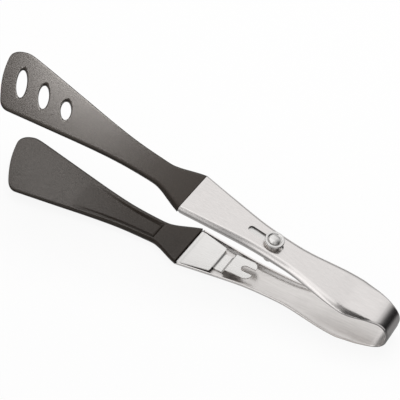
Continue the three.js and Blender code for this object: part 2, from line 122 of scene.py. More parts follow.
class SteelSizes(bpy.types.PropertyGroup):
    """Sizes of the steel strip that makes both arms and the bow"""

    open_angle: angle("Opening", "Angle between the arms at rest", 14.7)
    handle_length: length("Handle length", "From the bow's end to the seam of the blades", 145)
    bow_height: length("Bow height", "Height of the bow between the outer faces of the arms", 21.1)
    bend_radius: length("Bend radius", "Outer radius of the bow's two bends", 11)
    bow_rise: length("Bow rise", "How far the upper arm stands out at the bow", 1.9)
    rise_start: length("Rise start", "Where the upper arm starts to come in from the rise", 10)
    rise_end: length("Rise end", "Where the upper arm is in line", 32)
    sheet: length("Sheet", "Thickness of the steel", 1)
    end_width: length("End width", "Width of the strip at the bow", 17)
    bulge_width: length("Bulge width", "Width of the strip at the grip's rear", 29.4)
    waist_width: length("Waist width", "Width of the strip at its waist", 20.7)
    seam_width: length("Seam width", "Width of the strip at the blade", 34)
    bulge_place: length("Bulge place", "Distance of the widest place from the bow's end", 30.5)
    waist_place: length("Waist place", "Distance of the waist from the bow's end", 75)
    end_depth: length("End depth", "Depth of the rolled edge at the bow", 1.15)
    grip_place: length("Grip place", "Distance at which the rolled edge is deepest", 99)
    grip_depth: length("Grip depth", "Greatest depth of the rolled edge", 4.1)
    seam_depth: length("Seam depth", "Depth of the rolled edge at the blade", 3.6)
    end_run: length("End run", "Width of the rolled edge at the bow", 1.4)
    bulge_run: length("Bulge run", "Width of the rolled edge at the widest place", 6)
    waist_run: length("Waist run", "Width of the rolled edge at the waist", 5)
    seam_run: length("Seam run", "Width of the rolled edge at the blade", 3.2)
    spring_leg: length("Spring leg", "Where the bow gives way to the arms", 16)
    rest_place: length("Rest place", "Distance of the frame's origin from the bow's end", 80)
    lip_corner: length("Lip corner", "Radius of the side wall's corner at the seam", 2.4)
    edge_round: length("Edge round", "Rounding of the sheet's cut edges", 0.22)


class BladeSizes(bpy.types.PropertyGroup):
    """Sizes of the nylon turner blades"""

    seat_gap: length("Seat gap", "Gap between a blade and the steel round it", 0.25)
    blade_length: length("Blade length", "From the seam to the blade's end", 147.5)
    neck_place: length("Neck place", "Distance of the narrowest place from the seam", 24)
    neck_width: length("Neck width", "Width at the narrowest place", 18.7)
    tip_width: length("Tip width", "Width at the blade's end", 51.4)
    drift: length("Drift", "Sideways lean of the blade at its end", 0.6)
    root_thickness: length("Root thickness", "Thickness at the seam", 4.2)
    tip_thickness: length("Tip thickness", "Thickness at the end", 2)
    bend: length("Bend", "How far the end bends inward", 6.3)
    edge: length("Edge", "Width of the rounded edge", 1.3)
    tip_slant: angle("Tip slant", "Slant of the blade's end", 30)
    tip_bulge: length("Tip bulge", "Crown of the blade's end", 1.8)
    far_corner_length: length("Far corner length", "Length of the far rounded corner", 15)
    far_corner_run: length("Far corner run", "Width of the far rounded corner", 13.2)
    near_corner_length: length("Near corner length", "Length of the near rounded corner", 7)
    near_corner_run: length("Near corner run", "Width of the near rounded corner", 6.8)
    recess_place: length("Recess place", "Distance of the recess's end wall from the seam", 23.3)
    recess_length: length("Recess length", "Length of the recess in the inner face", 64)
    recess_rim: length("Recess rim", "Width of the rim beside the recess", 2.4)
    recess_depth: length("Recess depth", "Depth of the recess at its end wall", 1.2)
    recess_near_wall: length("Recess near wall", "Width of the recess's near side wall", 0.8)
    recess_far_wall: length("Recess far wall", "Width of the recess's far side wall", 2.6)
    recess_end_wall: length("Recess end wall", "Width of the recess's end wall", 0.5)
    groove_width: length("Groove width", "Half width of the groove at the foot of the recess's walls", 0.8)
    groove_depth: length("Groove depth", "Depth of that groove below the recess's floor", 0.9)
    tang_length: length("Tang length", "Length of the tongue inside the handle", 16)
    hole_width: length("Hole width", "Width of an oval drain hole", 6.6)
    hole_pitch: length("Hole pitch", "Distance between drain holes along the blade", 17.8)
    hole_from_end: length("Hole from end", "Distance of the first drain hole from the end", 12.4)
    hole_side: length("Hole side", "Sideways place of the drain holes", 1.8)
    hole_slant: angle("Hole slant", "Slant of the drain holes", 34)
    hole_round: length("Hole round", "Rounding of the drain holes' edges", 0.55)


class CatchSizes(bpy.types.PropertyGroup):
    """Sizes of the cover plates and of the catch"""

    plate: length("Plate", "Thickness of the plates", 0.7)
    depth: length("Depth", "Depth of the cover's inner face", 3.2)
    setback: length("Setback", "Distance of the cover's front edge from the seam", 0.4)
    cover_length: length("Cover length", "Length of the cover", 22.3)
    front_fall: length("Front fall", "How far the cover's front edge is pressed down", 0.3)
    front_run: length("Front run", "Length of the pressed front edge", 3)
    rear_width: length("Rear width", "Width of the cover's rear edge", 21.5)
    side_gap: length("Side gap", "Gap between the cover and the side walls", 0.35)
    neck_length: length("Neck length", "Length of the neck", 6.9)
    neck_width: length("Neck width", "Width of the neck", 13.8)
    joggle_run: length("Joggle run", "Length of each bend", 1.3)
    hook_depth: length("Hook depth", "Depth of the hook's inner face", 6.3)
    hook_length: length("Hook length", "Length of the hook", 18.6)
    hook_width: length("Hook width", "Width of the hook", 14.8)
    hook_corner: length("Hook corner", "Radius of the hook's rear corners", 4.4)
    notch_width: length("Notch width", "Width of the notch that takes the pin", 5)
    notch_length: length("Notch length", "Length of the notch", 9.1)
    edge_round: length("Edge round", "Rounding of the plate's cut edges", 0.16)


class LockSizes(bpy.types.PropertyGroup):
    """Sizes of the sliding lock and of its slot"""

    slot_start: length("Slot start", "Rear end of the slot", 79.2)
    slot_end: length("Slot end", "Front end of the slot", 104)
    slot_width: length("Slot width", "Width of the slot", 4.9)
    knob_place: length("Knob place", "Distance of the knob from the bow's end at rest", 86)
    knob_radius: length("Knob radius", "Radius of the knob", 6.1)
    knob_height: length("Knob height", "Height of the knob over the arm", 3.7)
    knob_edge: length("Knob edge", "Rounding of the knob's rim", 0.6)
    collar_radius: length("Collar radius", "Radius of the collar under the disc", 4.4)
    collar_height: length("Collar height", "Height of the collar", 2)
    dish_radius: length("Dish radius", "Radius of the dished middle", 4.1)
    dish_depth: length("Dish depth", "Depth of the dished middle", 0.5)
    dome_radius: length("Dome radius", "Radius of the pin's dome", 3.7)
    dome_height: length("Dome height", "Height of the pin's dome", 1)
    pin_radius: length("Pin radius", "Radius of the pin", 2.05)
    catch_radius: length("Catch radius", "Radius of the pin's lower head", 3.3)
    slide_width: length("Slide width", "Width of the guide strip", 9)
    slide_thickness: length("Slide thickness", "Thickness of the guide strip", 0.7)
    slide_rear: length("Slide rear", "Reach of the guide strip behind the knob", 8.3)
    slide_front: length("Slide front", "Reach of the guide strip in front of the knob", 19.5)


class Finishes(bpy.types.PropertyGroup):
    """Colours and roughness of the finishes"""

    satin: colour("Satin steel", "Colour of the outer steel", (0.835, 0.803, 0.788))
    brushed: colour("Brushed steel", "Colour of the plates", (0.84, 0.825, 0.81))
    inside: colour("Inside steel", "Colour of the strip's inner face", (0.78, 0.752, 0.733))
    bright: colour("Bright steel", "Colour of the knob and pin", (0.8, 0.785, 0.77))
    # The slot's walls are near-black: painted shade, standing for the shade inside the slot
    cut: colour("Cut steel", "Colour of the slot's punched walls", (0.1, 0.097, 0.094))
    nylon: colour("Nylon", "Colour of the blades", (0.0195, 0.015, 0.0118))
    satin_rough: share("Satin roughness", "Roughness of the outer steel", 0.22)
    brushed_rough: share("Brushed roughness", "Roughness of the plates", 0.3)
    inside_rough: share("Inside roughness", "Roughness of the strip's inner face", 0.36)
    bright_rough: share("Bright roughness", "Roughness of the knob and pin", 0.27)
    nylon_rough: share("Nylon roughness", "Roughness of the blades", 0.23)


class StudioSettings(bpy.types.PropertyGroup):
    """Camera, floor and lamps"""

    camera_place: FloatVectorProperty(
        name="Camera place", description="Where the camera stands", size=3, subtype="TRANSLATION",
        unit="LENGTH", default=(0.25755293, -0.41609783, 0.58742846),
    )
    camera_yaw: angle("Camera yaw", "Turn of the camera about the upright axis", 36.75231)
    camera_tilt: angle("Camera tilt", "Height of the camera over the horizon", 45.86723)
    camera_roll: angle("Camera roll", "Roll of the camera about its own axis", -4.32022)
    camera_lens: number("Camera lens", "Focal length in millimetres on a 36 mm sensor", 109.339)
    floor_size: length("Floor size", "Half width of the floor", 3000)
    floor_white: share("Floor white", "Share of plain white in the floor as the camera sees it", 0.9)
    sky: number("Sky", "Strength of the world's light", 0.62)
    key: number("Key lamp", "Power of the lamp over the tongs in watts", 6)


def steel():
    return bpy.context.scene.tongs_steel


def blades():
    return bpy.context.scene.tongs_blades


def catch():
    return bpy.context.scene.tongs_catch


def lock():
    return bpy.context.scene.tongs_lock


def finishes():
    return bpy.context.scene.tongs_finishes


def studio():
    return bpy.context.scene.tongs_studio


# Curves read along the strip


# Curves have this many samples between two of their points
SPAN_SAMPLES = 16


def spread(start, end, first, last, shares):
    """Points from (start, first) to (end, last): place = start + run * (end - start), value in the same way."""
    run, change = np.array(shares, float).T
    return np.column_stack([start + (end - start) * run, first + (last - first) * change])


def smooth_reader(*runs):
    """A Catmull-Rom curve through all points, read as value at place."""
    points = np.vstack(runs)
    last = len(points) - 1
    at = np.linspace(0, last, SPAN_SAMPLES * (last + 1) + 1)
    span = np.minimum(at.astype(int), last)
    w = (at - span)[:, None]
    before, here = points[np.maximum(span - 1, 0)], points[span]
    after, beyond = points[np.minimum(span + 1, last)], points[np.minimum(span + 2, last)]
    leave, arrive = (after - before) / 2, (beyond - here) / 2
    curve = (2 * here - 2 * after + leave + arrive) * w**3
    curve += (-3 * here + 3 * after - 2 * leave - arrive) * w**2 + leave * w + here
    return lambda place: np.interp(place, curve[:, 0], curve[:, 1])


def ease(value):
    """Smoothstep: 3 v squared minus 2 v cubed, with v held between 0 and 1."""
    v = np.clip(value, 0, 1)
    return v * v * (3 - 2 * v)


def corner_inset(distance, along, across):
    """How far a rounded corner draws an edge in: across * (1 - sqrt(1 - left squared)),
    with left = 1 - distance / along."""
    left = np.clip(1 - distance / along, 0, 1)
    return across * (1 - np.sqrt(1 - left**2))


def steps(start, end, pitch):
    """Even places from start to just before end, about a pitch apart."""
    return np.linspace(start, end, max(int(round(abs(end - start) / pitch)), 1), endpoint=False)


def towards(start, end, count):
    """Places from start to end that close up at the end:
    start + (end - start) * sin(quarter turn * k / count)."""
    return start + (end - start) * np.sin(np.linspace(0, QUARTER_TURN, count + 1))


class Strip:
    """The steel strip's derived sizes, and its width, depth and run against the path from the bow's
    middle."""

    def __init__(self):
        z = steel()
        self.sizes = z
        self.half_angle = z.open_angle / 2
        self.bend_turn = QUARTER_TURN - self.half_angle
        self.tangent = z.bend_radius * math.tan(self.bend_turn / 2)
        self.flat = z.bow_height - 2 * self.tangent
        self.half_path = self.flat / 2 + z.bend_radius * self.bend_turn
        bulge, waist = self.path(z.bulge_place), self.path(z.waist_place)
        grip, seam = self.path(z.grip_place), self.path(z.handle_length)
        self.width = smooth_reader(
            spread(0, bulge, z.end_width, z.bulge_width, TO_BULGE),
            spread(bulge, waist, z.bulge_width, z.waist_width, TO_WAIST),
            spread(waist, seam, z.waist_width, z.seam_width, TO_SEAM),
        )
        self.depth = smooth_reader(
            spread(0, grip, z.end_depth, z.grip_depth, TO_GRIP_DEPTH),
            spread(grip, seam, z.grip_depth, z.seam_depth, EVEN[1:]),
        )
        self.run = smooth_reader(
            spread(0, bulge, z.end_run, z.bulge_run, TO_BULGE_RUN),
            spread(bulge, waist, z.bulge_run, z.waist_run, EVEN[1:]),
            spread(waist, seam, z.waist_run, z.seam_run, EVEN[1:]),
        )

    def path(self, s):
        return s - self.tangent + self.half_path

    def rise(self, s):
        """How far the upper arm stands out: bow_rise * (1 - smoothstep from rise_start to rise_end)."""
        z = self.sizes
        return z.bow_rise * (1 - ease((s - z.rise_start) / (z.rise_end - z.rise_start)))

    def settle(self, x, y, z):
        """Turns the bow's own symmetric frame onto the lower arm's."""
        c, q = math.cos(self.half_angle), math.sin(self.half_angle)
        z = z + self.sizes.bow_height / 2
        return np.stack(np.broadcast_arrays(x * c + z * q + self.sizes.rest_place, y, z * c - x * q), -1)

    def place(self, upper, s, y, depth):
        """Points of an arm in the frame. The upper arm is the lower one mirrored and turned by the
        opening."""
        if not upper:
            return np.stack(np.broadcast_arrays(self.sizes.rest_place - s, y, depth), -1)
        c, q = math.cos(self.sizes.open_angle), math.sin(self.sizes.open_angle)
        top = self.settle(0, 0, self.sizes.bow_height / 2)
        depth = depth - self.rise(s)
        return np.stack(np.broadcast_arrays(top[0] - s * c - depth * q, y, top[2] + s * q - depth * c), -1)

    def section(self, path, lip_cut=0.0, web=9, roll=14, middle=14):
        """Columns of the channel at each path, as outer y, outer depth, inner y, inner depth.
        The web is flat, with columns that crowd at the slot's half width. The edges are quarter ellipses:
        y = half - run + run * sin(t), depth = depth * (1 - cos(t)), with t up to where the lip is cut."""
        readers = self.width, self.depth, self.run
        half, depth, run = (np.atleast_1d(reader(path))[:, None] for reader in readers)
        half = half / 2
        z = self.sizes
        most = np.arccos(np.clip(np.atleast_1d(lip_cut)[:, None] / depth, 0, 1))
        t = most * np.linspace(0, 1, roll + 1)
        slot_half = lock().slot_width / 2
        centre = slot_half * np.sin(np.linspace(-QUARTER_TURN, QUARTER_TURN, middle + 1))
        flat_edge = half - run
        web_y = slot_half + (flat_edge - slot_half) * np.linspace(0, 1, web + 1)[1:]
        rest = np.zeros_like(web_y)
        outer_y = np.hstack([web_y, (flat_edge + run * np.sin(t))[:, 1:]])
        outer_d = np.hstack([rest, (depth * (1 - np.cos(t)))[:, 1:]])
        inner_y = np.hstack([web_y, (flat_edge + (run - z.sheet) * np.sin(t))[:, 1:]])
        inner_d = np.hstack([rest, ((depth - z.sheet) * (1 - np.cos(t)))[:, 1:]]) + z.sheet
        middle_y = np.broadcast_to(centre, (len(half), len(centre)))
        middle_d = np.zeros_like(middle_y)

        def whole(side_y, side_d, level):
            y = np.hstack([-side_y[:, ::-1], middle_y, side_y])
            return y, np.hstack([side_d[:, ::-1], middle_d + level, side_d])

        return (*whole(outer_y, outer_d, 0.0), *whole(inner_y, inner_d, z.sheet))


# Meshes from grids of points


def mesh_from(name, points, faces, finish=None):
    """A mesh from an array of points and an array of four-sided faces, turned so that its faces point
    outwards. finish gives each face the number of its material."""
    used, index = np.unique(faces, return_inverse=True)
    points, faces = points[used], index.reshape(faces.shape)
    corners = points[faces]
    middle = corners.mean(1)
    normal = np.cross(corners[:, 2] - corners[:, 0], corners[:, 3] - corners[:, 1])
    if (middle * normal).sum() < 0:
        faces = faces[:, ::-1]
    mesh = bpy.data.meshes.new(name)
    mesh.vertices.add(len(points))
    mesh.vertices.foreach_set("co", points.astype(np.float32).ravel())
    mesh.loops.add(faces.size)
    mesh.loops.foreach_set("vertex_index", faces.astype(np.int32).ravel())
    mesh.polygons.add(len(faces))
    mesh.polygons.foreach_set("loop_start", np.arange(0, faces.size, 4, dtype=np.int32))
    mesh.polygons.foreach_set("use_smooth", np.ones(len(faces), bool))
    if finish is not None:
        mesh.polygons.foreach_set("material_index", finish.astype(np.int32))
    mesh.update(calc_edges=True)
    mesh.validate()
    return mesh


def solid_faces(rows, columns, present, first=0):
    """Faces of the closed solid between two grids of the same rows and columns, the second after the first.
    Cells that aren't present are left open, and every open edge gets a wall from one grid to the other."""
    count = rows * columns
    at = np.arange(count).reshape(rows, columns) + first
    a, b, c, d = at[:-1, :-1], at[:-1, 1:], at[1:, 1:], at[1:, :-1]
    top = np.stack([a, b, c, d], -1)[present]
    low = top[:, ::-1] + count
    padded = np.pad(present, 1)
    above, below = padded[:-1, 1:-1], padded[1:, 1:-1]
    left, right = padded[1:-1, :-1], padded[1:-1, 1:]

    def wall(start, end, chosen):
        p, q = start[chosen], end[chosen]
        return np.stack([p, q, q + count, p + count], -1)

    walls = [
        wall(at[:, 1:], at[:, :-1], below & ~above),
        wall(at[:, :-1], at[:, 1:], above & ~below),
        wall(at[:-1], at[1:], right & ~left),
        wall(at[1:], at[:-1], left & ~right),
    ]
    return np.vstack([top, low, *walls])


def sheet_solid(name, outer, inner, present=None, joined_rows=()):
    """A closed solid between two grids of points. The end wall at a joined row has corners of its own,
    so that its edge isn't rounded and the surface runs on smoothly into the next piece."""
    rows, columns = outer.shape[:2]
    if present is None:
        present = np.ones((rows - 1, columns - 1), bool)
    points = np.concatenate([outer.reshape(-1, 3), inner.reshape(-1, 3)])
    faces = solid_faces(rows, columns, present)
    count = rows * columns
    row_of, column_of = faces % count // columns, faces % count % columns
    inner_side = (faces >= count).all(1)
    inland = ((row_of > 0) & (row_of < rows - 1) & (column_of > 0) & (column_of < columns - 1)).all(1)
    # Walls inside the grid, such as the slot's, take the third finish, whose near-black colour is painted shade
    cut = (faces >= count).any(1) & ~inner_side & inland
    finish = inner_side + 2 * cut
    for row in joined_rows:
        wall = (row_of == row % rows).all(1)
        own = points[faces[wall].ravel()]
        faces[wall] = len(points) + np.arange(4 * wall.sum()).reshape(-1, 4)
        points = np.concatenate([points, own])
    return mesh_from(name, points, faces, finish)


def turned_mesh(name, profile, segments):
    """A profile of (radius, height) turned round the pin's axis: x = r cos(u), y = r sin(u).
    Rings of no radius close as poles."""
    turn = np.linspace(0, 2 * math.pi, segments, endpoint=False)
    radius, height = np.array(profile, float).T
    x, y = radius[:, None] * np.cos(turn), radius[:, None] * np.sin(turn)
    points = on_lock_axis(x, y, np.broadcast_to(height[:, None], x.shape)).reshape(-1, 3)
    at = np.arange(len(points)).reshape(x.shape)
    after = np.roll(at, -1, 1)
    faces = np.stack([at[:-1], after[:-1], after[1:], at[1:]], -1).reshape(-1, 4)
    return mesh_from(name, points, faces)


def rounded_corner(at, before, after, radius, count):
    """Points of a round corner in a profile: the quadratic arc from radius before the corner to radius
    after it."""
    at, before, after = (np.array(p, float) for p in (at, before, after))
    start = at + (before - at) * min(radius / np.linalg.norm(before - at), 0.5)
    end = at + (after - at) * min(radius / np.linalg.norm(after - at), 0.5)
    w = np.linspace(0, 1, count)[:, None]
    return start * (1 - w) ** 2 + 2 * at * w * (1 - w) + end * w**2


# Edges sharper than this angle are rounded, and points nearer than the weld's distance become one
SHARP_ANGLE = math.radians(50)
ROUND_SEGMENTS = 3
WELD_DISTANCE = 1e-6


def add_piece(mesh, material, nodes, edge_round=0.0, merge=False):
    """Links a mesh as a piece with its material or materials, rounds its sharp edges, closes its poles
    where asked, and lets it stand for its CAD nodes."""
    piece = bpy.data.objects.new(mesh.name, mesh)
    bpy.context.scene.collection.objects.link(piece)
    for finish in (material,) if isinstance(material, bpy.types.Material) else material:
        mesh.materials.append(finish)
    if merge:
        weld = piece.modifiers.new("Poles", "WELD")
        weld.merge_threshold = WELD_DISTANCE
    if edge_round > 0:
        bevel = piece.modifiers.new("Edges", "BEVEL")
        bevel.width = edge_round
        bevel.segments = ROUND_SEGMENTS
        bevel.limit_method = "ANGLE"
        bevel.angle_limit = SHARP_ANGLE
        bevel.use_clamp_overlap = True
    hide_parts(*nodes)
    return piece


def bake_modifiers(piece):
    """Puts the modifiers' result into the mesh."""
    graph = bpy.context.evaluated_depsgraph_get()
    finished = bpy.data.meshes.new_from_object(piece.evaluated_get(graph))
    name = piece.data.name
    piece.modifiers.clear()
    piece.data = finished
    finished.name = name


# Materials


def new_material(name):
    """A new material, with its nodes, its links and its shader."""
    material = bpy.data.materials.new(name)
    material.use_nodes = True
    nodes = material.node_tree.nodes
    return material, nodes, material.node_tree.links, nodes["Principled BSDF"]


def add_node(nodes, kind, **values):
    """A node of a kind, with its own settings and its sockets' values."""
    node = nodes.new(kind)
    for key, value in values.items():
        if key in node.inputs:
            node.inputs[key].default_value = value
        else:
            setattr(node, key, value)
    return node


def add_range(nodes, low, high, to_low=0.0, to_high=1.0, **values):
    """A node that maps low and high to to_low and to_high."""
    values.update({"From Min": low, "From Max": high, "To Min": to_low, "To Max": to_high})
    return add_node(nodes, "ShaderNodeMapRange", **values)


def add_noise(nodes, scale, detail, roughness):
    """A noise texture."""
    return add_node(nodes, "ShaderNodeTexNoise", Scale=scale, Detail=detail, Roughness=roughness)


def join(links, *pairs):
    """Links the two sockets of each pair."""
    for start, end in pairs:
        links.new(start, end)


# The sockets of a mix node for colours: the two colours and the result
COLOUR_A, COLOUR_B, COLOUR_OUT = 6, 7, 2

# The stretch of a noise's values that a look runs over, the scale of the steel's clouds, and how much more
# its colour spreads than its roughness
NOISE_RANGE = (0.3, 0.7)
CLOUD_SCALE = 38.0
GRAIN_TINT = 1.2

# Steel finishes: names of the colour and the roughness, grain along X, Y and Z, its depth, and the spread
# of the roughness
STEELS = {
    "satin_steel": ("satin", "satin_rough", (25.0, 900.0, 900.0), 0.0000012, 0.035),
    "brushed_steel": ("brushed", "brushed_rough", (120.0, 3200.0, 3200.0), 0.000003, 0.07),
    "inside_steel": ("inside", "inside_rough", (70.0, 900.0, 900.0), 0.000005, 0.08),
    "bright_steel": ("bright", "bright_rough", (900.0, 900.0, 900.0), 0.000001, 0.04),
    # The slot's walls: near-black steel that is painted shade inside the slot
    "cut_steel": ("cut", "inside_rough", (200.0, 2000.0, 2000.0), 0.000006, 0.08),
}

# Nylon: scale and depth of its grain, place and strength of its dark and its light speckle, spread of its
# roughness, and strength and tint of its mirroring
NYLON_GRAIN = 1500.0
NYLON_DEPTH = 0.00001
NYLON_SPECKLE = ((0.35, 0.72), (0.68, 1.5))
NYLON_SPREAD = 0.05
NYLON_SPECULAR = 0.34
NYLON_SPECULAR_TINT = (1.0, 0.94, 0.89, 1.0)


def steel_material(name, base, rough, grain, grain_depth, spread_rough):
    """Drawn sheet steel: fine grain along the strip from stretched noise in its colour, roughness and bump,
    with slow clouds in its roughness."""
    material, nodes, links, shader = new_material(name)
    shader.inputs["Metallic"].default_value = 1.0
    shader.inputs["Base Color"].default_value = base
    where = add_node(nodes, "ShaderNodeTexCoord").outputs["Object"]
    along = add_node(nodes, "ShaderNodeMapping", Scale=grain)
    lines = add_noise(nodes, 1.0, 4.0, 0.65)
    clouds = add_noise(nodes, CLOUD_SCALE, 3.0, 0.5)
    tone = add_range(nodes, *NOISE_RANGE)
    tint = add_node(nodes, "ShaderNodeMix", data_type="RGBA")
    for socket, shift in ((COLOUR_A, -GRAIN_TINT * spread_rough), (COLOUR_B, GRAIN_TINT * spread_rough)):
        tint.inputs[socket].default_value = (*(min(part * (1 + shift), 1.0) for part in base[:3]), 1.0)
    mixed = add_node(nodes, "ShaderNodeMix", data_type="FLOAT", Factor=0.5)
    gloss = add_range(nodes, *NOISE_RANGE, rough - spread_rough, rough + spread_rough)
    bump = add_node(nodes, "ShaderNodeBump", Strength=1.0, Distance=grain_depth)
    join(
        links,
        (where, along.inputs["Vector"]),
        (along.outputs["Vector"], lines.inputs["Vector"]),
        (where, clouds.inputs["Vector"]),
        (lines.outputs["Fac"], tone.inputs["Value"]),
        (tone.outputs["Result"], tint.inputs["Factor"]),
        (tint.outputs[COLOUR_OUT], shader.inputs["Base Color"]),
        (lines.outputs["Fac"], mixed.inputs["A"]),
        (clouds.outputs["Fac"], mixed.inputs["B"]),
        (mixed.outputs["Result"], gloss.inputs["Value"]),
        (gloss.outputs["Result"], shader.inputs["Roughness"]),
        (lines.outputs["Fac"], bump.inputs["Height"]),
        (bump.outputs["Normal"], shader.inputs["Normal"]),
    )
    return material


def nylon_material(name, base, rough):
    """Moulded glass-filled nylon: fine speckle in its colour and its gloss, and a pebbled skin."""
    material, nodes, links, shader = new_material(name)
    shader.inputs["Specular IOR Level"].default_value = NYLON_SPECULAR
    shader.inputs["Specular Tint"].default_value = NYLON_SPECULAR_TINT
    where = add_node(nodes, "ShaderNodeTexCoord").outputs["Object"]
    speckle = add_noise(nodes, NYLON_GRAIN, 2.0, 0.7)
    pebble = add_noise(nodes, NYLON_GRAIN, 3.0, 0.6)
    tint = add_node(nodes, "ShaderNodeValToRGB")
    for element, (place, strength) in zip(tint.color_ramp.elements, NYLON_SPECKLE):
        element.position = place
        element.color = (*(strength * part for part in base[:3]), 1.0)
    gloss = add_range(nodes, *NOISE_RANGE, rough + NYLON_SPREAD, rough - NYLON_SPREAD)
    bump = add_node(nodes, "ShaderNodeBump", Strength=1.0, Distance=NYLON_DEPTH)
    join(
        links,
        (where, speckle.inputs["Vector"]),
        (where, pebble.inputs["Vector"]),
        (speckle.outputs["Fac"], tint.inputs["Fac"]),
        (tint.outputs["Color"], shader.inputs["Base Color"]),
        (speckle.outputs["Fac"], gloss.inputs["Value"]),
        (gloss.outputs["Result"], shader.inputs["Roughness"]),
        (pebble.outputs["Fac"], bump.inputs["Height"]),
        (bump.outputs["Normal"], shader.inputs["Normal"]),
    )
    return material


def steel_finish(name):
    """The steel of that name, made once."""
    base, rough, *grain = STEELS[name]
    f = finishes()
    values = tuple(getattr(f, base)), getattr(f, rough), *grain
    return bpy.data.materials.get(name) or steel_material(name, *values)


def blade_nylon():
    """The blades' nylon, made once."""
    name, f = "blade_nylon", finishes()
    return bpy.data.materials.get(name) or nylon_material(name, tuple(f.nylon), f.nylon_rough)


# The steel strip


# The strip's finishes: its outer face, its inner face and the slot's punched walls, whose near-black colour is
# painted shade
STRIP_FINISHES = ("satin_steel", "inside_steel", "cut_steel")

# Pitches of an arm's rows, how far the bowed and the fine ones reach past the slot's ends, and the rows
# of the corner at the seam and of the bow
ARM_PITCH, BOWED_PITCH, FINE_PITCH, SLOT_PITCH = 1.5 * MM, 0.8 * MM, 0.35 * MM, 1.4 * MM
BOWED_RUN, FINE_RUN = 6 * MM, 1 * MM
LIP_ROWS, BOW_ROWS = 10, 141


def arm_rows():
    """Places along an arm as rows, with how much of the slot's rear or front arc each row carries.
    Rows crowd at the slot's ends and at the seam's corner."""
    z, k = steel(), lock()
    radius = k.slot_width / 2
    rear, front = k.slot_start + radius, k.slot_end - radius
    lip = z.handle_length - z.lip_corner
    stretches = (
        (z.spring_leg, rear - BOWED_RUN, ARM_PITCH), (rear - BOWED_RUN, rear - FINE_RUN, BOWED_PITCH),
        (rear - FINE_RUN, rear, FINE_PITCH), (rear, front, SLOT_PITCH), (front, front + FINE_RUN, FINE_PITCH),
        (front + FINE_RUN, front + BOWED_RUN, BOWED_PITCH), (front + BOWED_RUN, lip, ARM_PITCH),
    )
    rows = [steps(*stretch) for stretch in stretches]
    base = np.concatenate([*rows, towards(lip, z.handle_length, LIP_ROWS)])
    rear_arc = np.clip(1 - (rear - base) / BOWED_RUN, 0, 1) * (base <= rear)
    front_arc = np.clip(1 - (base - front) / BOWED_RUN, 0, 1) * (base >= front)
    return base, front_arc - rear_arc, (base >= rear) & (base < front)


def arm_mesh(name, upper):
    """The channel section carried along the arm. Round the slot a row bows by
    arc(y) = sqrt(r squared - y squared). The side wall's corner at the seam is a quarter circle."""
    strip = Strip()
    z, k = steel(), lock()
    base, bow, in_slot = arm_rows()
    lip_cut = corner_inset(z.handle_length - base, z.lip_corner, z.lip_corner)
    outer_y, outer_d, inner_y, inner_d = strip.section(strip.path(base), lip_cut)
    arc = np.sqrt(np.clip((k.slot_width / 2) ** 2 - outer_y**2, 0, None))
    s = base[:, None] + bow[:, None] * arc
    present = np.ones((len(base) - 1, outer_y.shape[1] - 1), bool)
    if upper:
        middle = np.abs(outer_y[0, :-1] + outer_y[0, 1:]) / 2 < k.slot_width / 2
        present[np.ix_(in_slot[:-1], middle)] = False
    else:
        s = np.broadcast_to(base[:, None], outer_y.shape)
    outer = strip.place(upper, s, outer_y, outer_d)
    inner = strip.place(upper, s, inner_y, inner_d)
    return sheet_solid(name, outer, inner, present, (0,))


def bow_mesh(name):
    """The channel section carried round the bow: a short flat, then a bend of bend_radius on each side,
    then a leg. Past the flat, turn = (path - flat / 2) / radius, and the section is set in along
    (cos turn, sin turn)."""
    strip = Strip()
    z = steel()
    reach = strip.path(z.spring_leg)
    path = np.linspace(-reach, reach, BOW_ROWS)
    away, sign = np.abs(path), np.sign(path)
    turn = np.clip((away - strip.flat / 2) / z.bend_radius, 0, strip.bend_turn)
    past = np.maximum(away - strip.half_path, 0)
    x = z.bend_radius * (np.cos(turn) - 1) - past * math.sin(strip.bend_turn)
    up = np.minimum(away, strip.flat / 2) + z.bend_radius * np.sin(turn) + past * math.cos(strip.bend_turn)
    s = np.where(sign > 0, z.spring_leg - (reach - away), 0.0)
    rise = np.clip(path / strip.flat + 0.5, 0, 1) * strip.rise(s)
    across = (x + rise * math.sin(strip.half_angle))[:, None]
    over = (sign * up + rise * math.cos(strip.half_angle))[:, None]
    c, q = np.cos(turn)[:, None], (sign * np.sin(turn))[:, None]
    outer_y, outer_d, inner_y, inner_d = strip.section(away)
    outer = strip.settle(across - outer_d * c, outer_y, over - outer_d * q)
    inner = strip.settle(across - inner_d * c, inner_y, over - inner_d * q)
    return sheet_solid(name, outer, inner, None, (0, -1))


class TONGS_OT_arms(bpy.types.Operator):
    """Make the lower and the slotted upper arm"""

    bl_idname = "tongs.arms"
    bl_label = "Make the arms"

    def execute(self, context):
        for name, upper, node, body in (
            ("lower_arm_steel", False, "lower_arm", "lower_half"),
            ("upper_arm_steel", True, "upper_arm", "upper_half"),
        ):
            finish = [steel_finish(kind) for kind in STRIP_FINISHES[: 3 if upper else 2]]
            piece = add_piece(arm_mesh(name, upper), finish, [node], steel().edge_round)
            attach(piece, body)
        return {"FINISHED"}


class TONGS_OT_bow(bpy.types.Operator):
    """Make the bow that springs the arms open"""

    bl_idname = "tongs.bow"
    bl_label = "Make the bow"

    def execute(self, context):
        z = steel()
        finish = [steel_finish(kind) for kind in STRIP_FINISHES[:2]]
        piece = add_piece(bow_mesh("spring_bow_steel"), finish, ["spring_bow"], z.edge_round)
        bake_modifiers(piece)
        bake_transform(piece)
        return {"FINISHED"}


# The nylon blades


# The crosswise lines slant more and more past the neck, by this power of the share. The handle's section
# gives way to the blade's own over the length divided by ROOT_PARTS. Edges and holes are placed by rounds
# of correction.
SLANT_POWER = 1.5
ROOT_PARTS = 5
EDGE_ROUNDS, HOLE_ROUNDS = 4, 8


